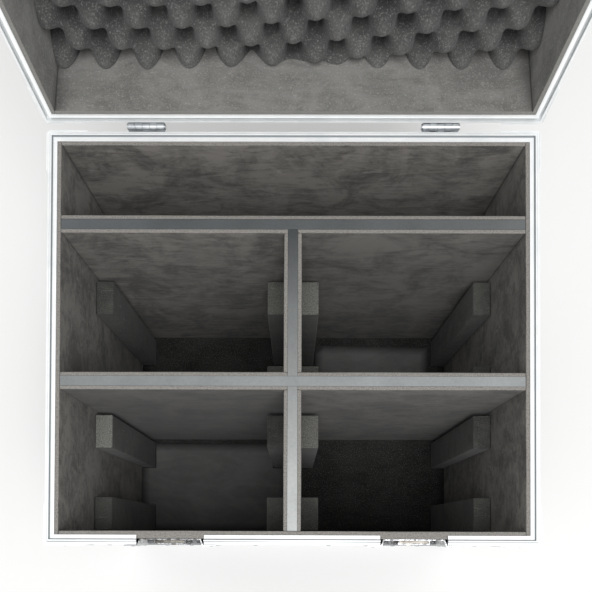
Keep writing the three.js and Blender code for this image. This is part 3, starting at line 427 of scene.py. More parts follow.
@dataclass(frozen=True)
class LaminatedEdge(Finish):
    """Divider board with a satin laminate: blue-grey and finely flecked, painted paler towards one end as a painted
    reflection of the bright room.
    """

    far: str = "#8B9496"  # colour at the far end, while the finish's own colour is that at the near one; the blend between them is a painted reflection
    axis: str = "X"
    reach: Pair = (-288.0, 288.0)  # mm, the places of the two colours along the axis
    fleck: float = 3.0  # mm across a fleck
    cloud: float = 45.0  # mm across a cloud

    def build(self) -> bpy.types.Material:
        """The two colours blend along the board as a painted reflection, and fine noise over longer clouds makes them
        lighter or darker.
        """
        tree, place = self.start()
        axes = add_node(tree, "ShaderNodeSeparateXYZ", {0: place})
        along = add_node(tree, "ShaderNodeMapRange", {
            "Value": axes.outputs[self.axis], "From Min": self.reach[0] * MM, "From Max": self.reach[1] * MM})
        plain = two_tone(tree, along, self.colour, self.far, (0.0, 1.0))
        fleck, cloud = (
            add_node(tree, "ShaderNodeTexNoise", {
                "Vector": place, "Scale": per_metre(size), "Detail": detail, "Roughness": roughness})
            for size, detail, roughness in ((self.fleck, 6.0, 0.7), (self.cloud, 3.0, 0.5)))
        mixed = add_node(tree, "ShaderNodeMix", {"Factor": 0.5, "A": fleck, "B": cloud}, data_type="FLOAT")
        value = add_node(tree, "ShaderNodeMapRange", {
            "Value": mixed, "From Min": 0.3, "From Max": 0.7, "To Min": 0.82, "To Max": 1.14})
        toned = add_node(tree, "ShaderNodeHueSaturation", {"Color": plain, "Value": value})
        return self.finished(tree, toned, fleck, strength=0.2, depth=0.1)


@dataclass(frozen=True)
class Foam(Finish):
    """Cut foam: matt, cloudy from the knife and the glue behind, speckled with open cells, paler where it is cut.

    The attribute named cut is 1 on a sawn edge, which shows lighter cells, 0 on a face, and -1 in a seam, where the
    light doesn't reach and the glue is black. On the egg-crate and the pads it also carries painted light and painted
    shade.
    """

    light: str = "#5B5956"
    edge: str = "#8F8C88"
    speck: str = "#77746F"
    cloud: float = 70.0  # mm across a cloud
    cell: float = 1.6  # mm between specks: real cells are 0.5 mm, drawn coarse enough to show
    specks: float = 0.35  # share of the specks' colour
    scuffs: float = 0.5  # share of the paler tone where things have rubbed
    tone: float = 1.0  # how much paler or darker this copy of the foam is painted, as painted light and shade
    depth: float = 0.25  # mm that the cells are deep
    seam: str = "#0E0E0D"

    def build(self) -> bpy.types.Material:
        """Clouds and smears blend two greys, rubs and specks lighten them, and sawn edges take the paler tone."""
        tree, place = self.start(Sheen_Weight=0.15, Sheen_Roughness=0.6, Specular_IOR_Level=0.25)
        smears, lanes = (
            add_node(tree, "ShaderNodeMapping", {"Vector": place, "Rotation": turn, "Scale": stretch})
            for turn, stretch in (((0.5, 0.3, 0.6), (0.35, 1.0, 1.6)), ((0.4, 0.9, 0.2), (0.12, 1.0, 0.4))))
        cloud, scuff, rubs, cells = (
            add_node(tree, "ShaderNodeTexNoise", {"Vector": vector, "Scale": per_metre(size), "Detail": detail,
                                                  "Roughness": roughness, "Distortion": distortion})
            for vector, size, detail, roughness, distortion in (
                (place, self.cloud, 7.0, 0.66, 0.6),
                (smears, self.cloud / 3, 9.0, 0.75, 1.4),
                (lanes, self.cloud / 9, 4.0, 0.7, 0.8),
                (place, self.cell, 2.0, 0.6, 0.0),
            ))
        marked = add_node(tree, "ShaderNodeMix", {"Factor": 0.45, "A": cloud, "B": scuff}, data_type="FLOAT")
        colour = two_tone(tree, marked, self.colour, self.light, (0.42, 0.56))
        for pattern, low, high, share, paler in (
            (rubs, 0.62, 0.74, self.scuffs, self.edge),
            (cells, 0.54, 0.72, self.specks, self.speck),
        ):
            amount = add_node(tree, "ShaderNodeMapRange", {
                "Value": pattern, "From Min": low, "From Max": high, "To Max": share})
            colour = add_node(tree, "ShaderNodeMix", {"Factor": amount, "A": colour, "B": hex_to_linear(paler)},
                              data_type="RGBA")
        colour = add_node(tree, "ShaderNodeHueSaturation", {"Color": colour, "Value": self.tone})
        sawn = add_node(tree, "ShaderNodeAttribute", attribute_name="cut").outputs["Fac"]
        seam = add_node(tree, "ShaderNodeMath", {0: sawn, 1: -1.0}, operation="MULTIPLY")
        grain = two_tone(tree, cells, self.light, self.edge, (0.3, 0.6))
        for share, over in ((sawn, grain), (seam, hex_to_linear(self.seam))):
            colour = add_node(tree, "ShaderNodeMix", {"Factor": share, "A": colour, "B": over}, data_type="RGBA",
                              clamp_factor=True)
        return self.finished(tree, colour, cells, strength=0.8, depth=self.depth)


@dataclass(frozen=True)
class MouldedRubber(Finish):
    """Black rubber from a blasted mould: soft sheen and a very fine grain."""

    pale: str = "#232323"
    grain: float = 1.2  # mm, drawn coarse

    def build(self) -> bpy.types.Material:
        """Fine noise in colour and bump."""
        tree, place = self.start()
        grain = add_node(tree, "ShaderNodeTexNoise", {"Vector": place, "Scale": per_metre(self.grain), "Detail": 3.0})
        return self.finished(tree, two_tone(tree, grain, self.colour, self.pale), grain, strength=0.3, depth=0.1)


# The rims' creases, and the lid's groove, carry painted shade.
BODY_ALUMINIUM = ExtrudedAluminium("anodised_aluminium_closing_rim", "#E6E9EA", 0.42, 0.25)
LID_ALUMINIUM = ExtrudedAluminium("anodised_aluminium_closing_rim_lid", "#E6E9EA", 0.42, 0.25, creases=(5.3,),
                                  crease="#7F888B", crease_width=0.7, crease_top=-1.0, turned=True)
BODY_EDGES = ExtrudedAluminium("anodised_aluminium_edge_angle", "#C6CACD", 0.34, 0.85, pale="#DFE2E4", creases=())
LID_EDGES = replace(BODY_EDGES, label="anodised_aluminium_edge_angle_lid", turned=True)
ZINC = PlatedSteel("zinc_plated_pressed_steel", "#BDC0C2", 0.3, 1.0, shade="#93979B")
CHROME = PlatedSteel("bright_nickel_plated_steel", "#BDBEC0", 0.1, 1.0, spangle=16.0, shade="#A3A5A8")
# The dish darkens its recess with painted shade.
DISH = PlatedSteel("bright_nickel_plated_dish", "#C9CACC", 0.16, 0.9, spangle=16.0, shade="#A3A5A8", recess=-251.0)
# Plated steel of the latch works, darker and browner than the other plated parts.
DARK_LATCH_STEEL = PlatedSteel("worn_plated_steel_of_the_latch_works", "#8F8B85", 0.2, 1.0, spangle=7.0, shade="#3B3833")
BOARD = FilmFacedBoard("black_phenolic_film_board", "#121314", 0.46)
# Painted light: the three dividers are one laminated board, painted darker or paler and graded along their length by
# how much bright room their tops would reflect.
REAR_DIVIDER = LaminatedEdge("dark_grey_laminated_board", "#54585A", 0.4, 0.2, far="#626566")
MIDDLE_DIVIDER = LaminatedEdge("pale_grey_laminated_board", "#7C8081", 0.4, 0.2, far="#8F9293")
CENTRE_DIVIDER = LaminatedEdge("grey_laminated_board", "#474A4B", 0.4, 0.2, far="#A0A3A2", axis="Y",
                               reach=(128.0, -180.0))
LINING = Foam("closed_cell_lining_foam", "#3A3835", 0.9, light="#6B6863", edge="#8E8B87", cloud=60.0)
# Painted light and shade: the case's, the sides' and each bay's linings are copies of one lining foam, painted paler
# or darker by their tone.
CASE_LINING = replace(LINING, label="closed_cell_case_lining_foam", tone=1.4)
SIDE_LINING = replace(LINING, label="closed_cell_side_lining_foam", tone=1.4)
BAY_LININGS = {
    "middle_left_bay": replace(LINING, label="closed_cell_middle_left_foam", tone=1.2),
    "middle_right_bay": replace(LINING, label="closed_cell_middle_right_foam", tone=0.95),
    "front_left_bay": replace(LINING, label="closed_cell_front_left_foam", tone=0.42),
    "front_right_bay": replace(LINING, label="closed_cell_front_right_foam", tone=0.75),
}
# Painted light: the lid's lining is the same closed-cell foam as the body's, painted much paler because it is lit
# more.
LID_LINING = Foam("closed_cell_lid_lining_foam", "#706F6C", 0.9, light="#8B8A87", edge="#7E7D79", speck="#B0AEA8",
                  specks=0.6, scuffs=0.1, cell=2.0)
FLOOR = Foam("speckled_floor_foam", "#222221", 0.92, light="#323231", edge="#333332", speck="#8E8E88", cell=2.0,
             specks=0.4)
PADS = Foam("open_cell_pad_foam", "#333331", 0.95, light="#4B4B48", edge="#8C8C86", speck="#7A7A74", cell=1.6,
            specks=0.45, depth=0.4)
MAT = Foam("charcoal_mat_foam", "#676766", 0.92, light="#777776", cloud=120.0, cell=1.6, specks=0.2, scuffs=0.2)
# Painted shade: the fitted mat is the same mat foam, painted a little darker.
FITTED_MAT = replace(MAT, label="charcoal_fitted_mat_foam", tone=0.92)
CRATE = Foam("convoluted_open_cell_foam", "#3A3A3A", 0.97, light="#535352", edge="#777775", speck="#8E8E8C",
             cloud=90.0, cell=1.9, specks=0.6, depth=0.7, scuffs=0.0)
RUBBER = MouldedRubber("black_moulded_rubber", "#121212", 0.62)


# Meshes from arrays


@dataclass(frozen=True)
class LidPlace:
    """Where the lid is at rest: turned back about the hinge pins from where it lies when closed."""

    hinge_y: float = 257.5
    hinge_z: float = 414.0
    degrees: float = 98.0

    def open(self, points: np.ndarray) -> np.ndarray:
        """Turns points of the closed lid, in millimetres, to the open rest pose.

        The offset (y, z) from the pin turns to (y cos a + z sin a, z cos a - y sin a).

        Args:
            points: an array whose last axis is x, y, z.

        Returns:
            The turned points.
        """
        c, s = math.cos(math.radians(self.degrees)), math.sin(math.radians(self.degrees))
        y, z = points[..., 1] - self.hinge_y, points[..., 2] - self.hinge_z
        return np.stack([points[..., 0], self.hinge_y + y * c + z * s, self.hinge_z - y * s + z * c], axis=-1)

    def closed_coordinates(self, tree: Tree, place: Source) -> Source:
        """Turns Object coordinates of the open lid back to those of the closed one, in a Mapping node.

        Args:
            tree: the material's node tree.
            place: the Object coordinates.

        Returns:
            The turned coordinates.
        """
        angle = math.radians(self.degrees)
        c, s = math.cos(angle), math.sin(angle)
        y, z = self.hinge_y * MM, self.hinge_z * MM
        shift = (0.0, y - (y * c - z * s), z - (y * s + z * c))
        return add_node(tree, "ShaderNodeMapping", {"Vector": place, "Rotation": (angle, 0.0, 0.0), "Location": shift})


@dataclass
class Surface:
    """Points in millimetres, faces as rows of point numbers, and how much of each point is a sawn edge."""

    points: np.ndarray
    faces: list
    cut: np.ndarray

    @staticmethod
    def joined(parts: Sequence["Surface"]) -> "Surface":
        """Several surfaces as one mesh.

        Args:
            parts: the surfaces.

        Returns:
            One surface with the faces renumbered.
        """
        starts = np.cumsum([0] + [len(part.points) for part in parts[:-1]])
        faces = [block + start for part, start in zip(parts, starts) for block in part.faces]
        return Surface(np.concatenate([part.points for part in parts]), faces,
                       np.concatenate([part.cut for part in parts]))


def shade(mesh: bpy.types.Mesh, finish: Finish, sharp: float) -> None:
    """Shades a mesh as one round but for its sharp edges, in one finish.

    Args:
        mesh: the mesh.
        finish: its finish.
        sharp: edges over this many degrees are shown sharp.
    """
    mesh.polygons.foreach_set("use_smooth", np.ones(len(mesh.polygons), dtype=bool))
    mesh.set_sharp_from_angle(angle=math.radians(sharp))
    mesh.materials.clear()
    mesh.materials.append(finish.material())


def make_piece(name: str, surface: Surface, finish: Finish, body: Body,
               replaces: Sequence[str] = (), sharp: float = 40.0) -> bpy.types.Object:
    """Puts a surface into the scene as a piece of the case.

    Args:
        name: the piece's name.
        surface: its points and faces.
        finish: its finish.
        body: the body that it rides on.
        replaces: the CAD nodes that it stands for.
        sharp: edges over this many degrees are shown sharp.

    Returns:
        The new object.
    """
    mesh = bpy.data.meshes.new(name)
    blocks = [block for block in surface.faces if len(block)]
    counts = np.concatenate([np.full(len(block), block.shape[1]) for block in blocks])
    corners = np.concatenate([block.ravel() for block in blocks]).astype(np.int32)
    mesh.vertices.add(len(surface.points))
    mesh.vertices.foreach_set("co", ((surface.points + BASE) * MM).astype(np.float32).ravel())
    mesh.loops.add(len(corners))
    mesh.loops.foreach_set("vertex_index", corners)
    mesh.polygons.add(len(counts))
    mesh.polygons.foreach_set("loop_start", np.concatenate([[0], np.cumsum(counts)[:-1]]).astype(np.int32))
    mesh.attributes.new("cut", "FLOAT", "POINT").data.foreach_set("value", surface.cut.astype(np.float32))
    mesh.update(calc_edges=True)
    mesh.validate()
    shade(mesh, finish, sharp)
    piece = put(name, mesh)
    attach(piece, body.value)
    if replaces:
        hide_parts(*replaces)
    LOG.info("%s: %d faces on %s", name, len(counts), body.value)
    return piece


class Sawn(Enum):
    """Which border of a sheet is a sawn edge in the light: the others are seams."""

    LOW = "low"
    HIGH = "high"
    NONE = "none"

    def marks(self, u: np.ndarray, v: np.ndarray, seam: float) -> np.ndarray:
        """What the attribute named cut is at each point of a sheet.

        It is 1 on the sawn border. Elsewhere it falls from 0 to -1 over the seam's width, by d / seam - 1 with d the
        distance to the nearest other border.

        Args:
            u, v: the sheet's grids.
            seam: how wide the seam's shadow is.

        Returns:
            A number from -1 to 1 for each point.
        """
        sides = {Sawn.LOW: v - v.min(), Sawn.HIGH: v.max() - v}
        dark = [side for kind, side in sides.items() if kind is not self] + [u - u.min(), u.max() - u]
        shade = np.clip(np.min(dark, axis=0) / seam - 1, -1, 0)
        return shade if self is Sawn.NONE else np.where(sides[self] < 0.01, 1.0, shade)


def stops(low: float, high: float, step: float, ease: float, extra: Sequence[float] = ()) -> np.ndarray:
    """Places along one direction of a grid: both ends, one ease in from each, and even steps between.

    Args:
        low: first place.
        high: last place.
        step: about how far apart the others are.
        ease: how far in the rounded edge reaches.
        extra: places that the grid also needs.

    Returns:
        The places, in order.
    """
    inner = np.linspace(low + ease, high - ease, max(2, round((high - low) / step)))
    ends = [low, low + 0.3 * ease, high - 0.3 * ease, high]
    places = np.concatenate([ends, inner, [e for e in extra if low < e < high]])
    return np.unique(np.round(places, 4))


def split_at(*places: float, gap: float = 0.05) -> list[float]:
    """Grid places just before and just after each step in a sheet's back."""
    return [place + way for place in places for way in (-gap, gap)]


@dataclass
class Slab:
    """A sheet of foam on a grid (u, v), between a back height and a front height along w.

    Attributes:
        u, v: places along the two directions of the sheet.
        front, back: heights, which are numbers, arrays, or functions of the two grids.
        axes: the directions of u, v and w as three rows.
        origin: where u, v and w are all 0.
        missing: function of the cells' middles that is true where the sheet has a hole.
        ease: how far the front falls at every border of the sheet.
        sawn: which border is a sawn edge.
        seam: how wide the dark seams at the other borders are.
    """

    u: np.ndarray
    v: np.ndarray
    front: Heights
    back: Heights
    axes: np.ndarray
    origin: Triple = (0.0, 0.0, 0.0)
    missing: Optional[Heights] = None
    ease: float = 0.7
    sawn: Sawn = Sawn.NONE
    seam: float = 3.0

    def surface(self) -> Surface:
        """Builds the closed surface.

        A point is origin + u U + v V + w W, with w the front or back height at (u, v). Cells that are kept give a
        front and a back face, and each border between a kept cell and a missing one gives a wall.

        Returns:
            The sheet's surface.
        """
        grid_u, grid_v = np.meshgrid(self.u, self.v, indexing="ij")
        middle_u, middle_v = np.meshgrid((self.u[1:] + self.u[:-1]) / 2, (self.v[1:] + self.v[:-1]) / 2, indexing="ij")
        kept = np.ones(middle_u.shape, bool) if self.missing is None else ~self.missing(middle_u, middle_v)
        around = np.pad(kept, 1)
        touching = np.stack([around[:-1, :-1], around[1:, :-1], around[:-1, 1:], around[1:, 1:]])
        border = ~touching.all(axis=0)
        front = self.front(grid_u, grid_v) - self.ease * border
        back = self.back(grid_u, grid_v)
        flat = [grid_u[..., None] * self.axes[0] + grid_v[..., None] * self.axes[1] + height[..., None] * self.axes[2]
                for height in (front, back)]
        points = np.concatenate([side.reshape(-1, 3) for side in flat]) + np.array(self.origin)
        cut = np.tile(self.sawn.marks(grid_u, grid_v, self.seam).ravel(), 2)
        number = np.arange(grid_u.size).reshape(grid_u.shape)
        under = number + grid_u.size
        a, b, c, d = number[:-1, :-1], number[1:, :-1], number[1:, 1:], number[:-1, 1:]
        quads = [np.stack([a, b, c, d], -1)[kept]]
        quads.append(np.stack([under[:-1, :-1], under[:-1, 1:], under[1:, 1:], under[1:, :-1]], -1)[kept])
        walls = (
            (kept & ~around[1:-1, :-2], a, b),
            (kept & ~around[2:, 1:-1], b, c),
            (kept & ~around[1:-1, 2:], c, d),
            (kept & ~around[:-2, 1:-1], d, a),
        )
        quads += [np.stack([q, p, p + grid_u.size, q + grid_u.size], -1)[edge] for edge, p, q in walls]
        if np.dot(np.cross(self.axes[0], self.axes[1]), self.axes[2]) < 0:
            quads = [rows[:, ::-1] for rows in quads]
        return tidy(points, np.concatenate(quads), cut)


def tidy(points: np.ndarray, faces: np.ndarray, cut: np.ndarray) -> Surface:
    """Drops the points that no face uses.

    Args:
        points: all points.
        faces: rows of point numbers.
        cut: how much each point is a sawn edge.

    Returns:
        The surface of what is used.
    """
    used, numbers = np.unique(faces, return_inverse=True)
    return Surface(points[used], [numbers.reshape(faces.shape)], cut[used])


def level(height: float) -> Heights:
    """A height that is the same all over a sheet."""
    return lambda u, v: np.full(u.shape, float(height))


def rippled(height: float, depth: float, seed: float) -> Heights:
    """A face that is nearly flat, as glued foam is.

    Its height is the base height minus depth times half of one plus the mean of three slow sine waves.

    Args:
        height: the flat height.
        depth: how far it falls at most.
        seed: turns the waves so that no two sheets match.

    Returns:
        A function of the two grids.
    """
    def face(u: np.ndarray, v: np.ndarray) -> np.ndarray:
        """Height of the rippled face."""
        waves = np.sin(u / 31 + seed) * np.sin(v / 43 + 2 * seed) + np.sin(u / 67 - v / 58 + seed)
        waves = waves + np.sin(u / 17 + v / 23 + 3 * seed) * 0.4
        return height - depth * (1 + waves / 2.4) / 2

    return face


def rebated(near: float, over: float, height: float) -> Heights:
    """The back of a sheet that is one thickness below a height and another above it."""
    return lambda u, v: -np.where(v < height, near, over)


def upright(axis: int, sign: int, face: float) -> tuple[np.ndarray, Triple]:
    """How a sheet lies on a wall.

    Args:
        axis: 0 if the sheet faces along X, 1 if along Y.
        sign: the way that the back lies from the face, 1 or -1.
        face: where the face is on that axis.

    Returns:
        The sheet's axes, with v up and w towards the inside, and its origin.
    """
    unit = np.eye(3)
    return np.array([unit[1 - axis], unit[2], unit[axis] * -sign]), tuple(unit[axis] * face)


def foam_block(low: Triple, high: Triple, radius: float, swell: float, step: float = 9.0) -> Surface:
    """A soft-edged block of foam whose faces are slightly full.

    Each point of a gridded box is drawn to the inner box, clamp(p), and set off from it by the edge radius along
    p - clamp(p). Then each face swells by swell (1 - a^2)(1 - b^2), with a and b from -1 to 1 across it.

    Args:
        low: lowest corner.
        high: highest corner.
        radius: radius of the edges.
        swell: how far a face's middle stands proud of its edges.
        step: about how far apart the grid's lines are.

    Returns:
        The block's surface.
    """
    low, high = np.array(low, float), np.array(high, float)
    centre, half = (low + high) / 2, (high - low) / 2 - swell
    points, faces, start = [], [], 0
    for axis in range(3):
        i, j = (axis + 1) % 3, (axis + 2) % 3
        u, v = stops(-half[i], half[i], step, radius), stops(-half[j], half[j], step, radius)
        grid_u, grid_v = np.meshgrid(u, v, indexing="ij")
        number = np.arange(grid_u.size).reshape(grid_u.shape)
        quads = np.stack([number[:-1, :-1], number[1:, :-1], number[1:, 1:], number[:-1, 1:]], -1).reshape(-1, 4)
        for sign in (1, -1):
            p = np.zeros(grid_u.shape + (3,))
            p[..., i], p[..., j], p[..., axis] = grid_u, grid_v, sign * half[axis]
            inner = np.clip(p, radius - half, half - radius)
            away = p - inner
            away /= np.linalg.norm(away, axis=-1, keepdims=True)
            p = inner + away * radius
            bulge = swell * (1 - (grid_u / half[i]) ** 2) * (1 - (grid_v / half[j]) ** 2)
            p[..., axis] += sign * bulge
            points.append(p.reshape(-1, 3) + centre)
            faces.append((quads if sign > 0 else quads[:, ::-1]) + start)
            start += grid_u.size
    return welded(np.concatenate(points), np.concatenate(faces))


def welded(points: np.ndarray, faces: np.ndarray) -> Surface:
    """Joins points that lie on one spot, to a thousandth of a millimetre.

    Args:
        points: all points.
        faces: rows of point numbers.

    Returns:
        The joined surface with no sawn edge.
    """
    _, first, back = np.unique(np.round(points, 3), axis=0, return_index=True, return_inverse=True)
    return Surface(points[first], [back.reshape(-1)[faces]], np.zeros(len(first)))


@dataclass(frozen=True)
class Stud:
    """A fastener head revolved about its own axis: (radius, height) pairs from rim to crown."""

    profile: tuple[Pair, ...]
    sides: int = 10

    def surface(self, places: np.ndarray, normals: np.ndarray) -> Surface:
        """Sets one head at each place.

        A head's point is place + r cos t A + r sin t B + h N, with A and B at right angles to the normal N.

        Args:
            places: one row for each head's centre on the surface.
            normals: the directions that the heads stand in.

        Returns:
            All heads as one surface.
        """
        radii, heights = np.array(self.profile).T
        turn = np.linspace(0, 2 * math.pi, self.sides, endpoint=False)
        normals = normals / np.linalg.norm(normals, axis=1, keepdims=True)
        helper = np.where(np.abs(normals[:, :1]) > 0.7, [[0.0, 1.0, 0.0]], [[1.0, 0.0, 0.0]])
        a = np.cross(helper, normals)
        a /= np.linalg.norm(a, axis=1, keepdims=True)
        b = np.cross(normals, a)
        rings = (radii[:, None, None] * (np.cos(turn)[None, :, None] * a[:, None, None, :]
                                         + np.sin(turn)[None, :, None] * b[:, None, None, :])
                 + heights[:, None, None] * normals[:, None, None, :] + places[:, None, None, :])
        crown = places + heights[-1] * normals
        foot = places + heights[0] * normals
        count, levels = self.sides, len(radii)
        body = rings.reshape(len(places), levels * count, 3)
        points = np.concatenate([body, crown[:, None], foot[:, None]], axis=1)
        each = levels * count + 2
        k = np.arange(count)
        n = (k + 1) % count
        quads = np.concatenate([np.stack([lv * count + k, lv * count + n, (lv + 1) * count + n,
                                          (lv + 1) * count + k], -1) for lv in range(levels - 1)])
        top = (levels - 1) * count
        caps = np.concatenate([np.stack([top + k, top + n, np.full(count, each - 2)], -1),
                               np.stack([n, k, np.full(count, each - 1)], -1)])
        shift = (np.arange(len(places)) * each)[:, None, None]
        return Surface(points.reshape(-1, 3), [(quads + shift).reshape(-1, 4), (caps + shift).reshape(-1, 3)],
                       np.zeros(points.shape[0] * points.shape[1]))


RIVET = Stud(((4.2, -0.2), (4.2, 0.25), (3.7, 0.75), (2.5, 1.2), (1.1, 1.4)))
SMALL_RIVET = Stud(((3.2, -0.2), (3.2, 0.2), (2.8, 0.6), (1.9, 0.95), (0.8, 1.1)))
SCREW = Stud(((4.4, -0.2), (4.4, 0.5), (3.9, 1.3), (2.7, 1.9), (2.0, 2.0), (1.7, 1.0), (0.6, 0.9)), 12)


@dataclass
class Refined:
    """CAD solids shown as merged, softly edged copies, so that their rounds shade as rounds.

    Attributes:
        bevel: width in millimetres of the rounding on sharp edges, or 0 for none.
        smooth: degrees up to which neighbouring faces shade as one round.
    """

    bevel: float = 0.35
    smooth: float = 34.0

    def show(self, node: str, finish: Finish, slot: str) -> bpy.types.Object:
        """Copies one CAD node, merges it, rounds its sharp edges and dresses it.

        Args:
            node: the CAD node's name.
            finish: the finish to give.
            slot: the record's material slot; not used.

        Returns:
            The piece that stands for the node.
        """
        source = frame["nodes"][node]
        mesh = bpy.data.meshes.new(f"{node}_shown")
        work = bmesh.new()
        work.from_mesh(source.data)
        bmesh.ops.remove_doubles(work, verts=work.verts, dist=2e-6)
        bmesh.ops.dissolve_limit(work, angle_limit=math.radians(1.0), verts=work.verts, edges=work.edges)
        if self.bevel:
            limit = math.radians(50)
            edges = [e for e in work.edges if len(e.link_faces) == 2 and e.calc_face_angle(0.0) > limit]
            bmesh.ops.bevel(work, geom=edges, offset=self.bevel * MM, segments=2, profile=0.6, affect="EDGES",
                            clamp_overlap=True)
        work.to_mesh(mesh)
        work.free()
        shade(mesh, finish, self.smooth)
        piece = put(f"{node}_shown", mesh)
        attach(piece, source["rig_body"])
        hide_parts(node)
        LOG.info("%s: %d faces stand for the CAD solid", piece.name, len(mesh.polygons))
        return piece


# Sub-assemblies

LEVEL = np.eye(3)


@dataclass
class CaseSizes:
    """Sizes in millimetres that the foams and fasteners share with the CAD solids."""

    outer: Pair = (300.0, 252.0)  # from the middle to the edge angles' outer faces
    lining: Pair = (283.0, 235.0)  # to the linings' faces
    leg: Pair = (287.7, 239.7)  # to a lining's back on the rims' inner legs
    board: Pair = (289.2, 241.2)  # to a lining's back on the boards
    leg_bottom: float = 401.7  # where the body's lining gets thicker below the rim's inner leg
    rim: float = 414.0
    top: float = 413.0  # of the body's linings
    floor: float = 14.3
    floor_bottom: float = 9.3
    seat: float = 0.3  # gap of a glue line
    sheet: float = 5.0  # thickness of the bays' linings
    half_divider: float = 6.0
    rear_divider: float = 138.5
    middle_divider: float = -53.0
    latch_x: float = 147.5
    notch: float = 40.2  # half width of the rims' gap at a latch
    parting: float = 414.5
    lid_top: float = 532.0
    under: float = -1.5  # height of the edge angles' lower faces


@dataclass
class Bay:
    """One of the four padded bays.

    Attributes:
        side, place: which bay it is.
        front, back: where the faces of its front and back linings stand.
        setback: how far the rear pads stand off the back lining.
        front_pad: length of the front pads.
        wraps_front: whether its lining covers the front too.
        tones: how pale the tops of its pads are: paler cut cells, and painted light that differs from pad to pad; rear
            then front, each by the centre and then by the wall. None is a corner without a pad.
    """

    side: Side
    place: str
    front: float
    back: float
    setback: float
    front_pad: float
    wraps_front: bool
    tones: tuple[Optional[float], ...]

    @property
    def name(self) -> str:
        """The bay's name as nodes use it."""
        return f"{self.place}_{self.side.word}_bay"


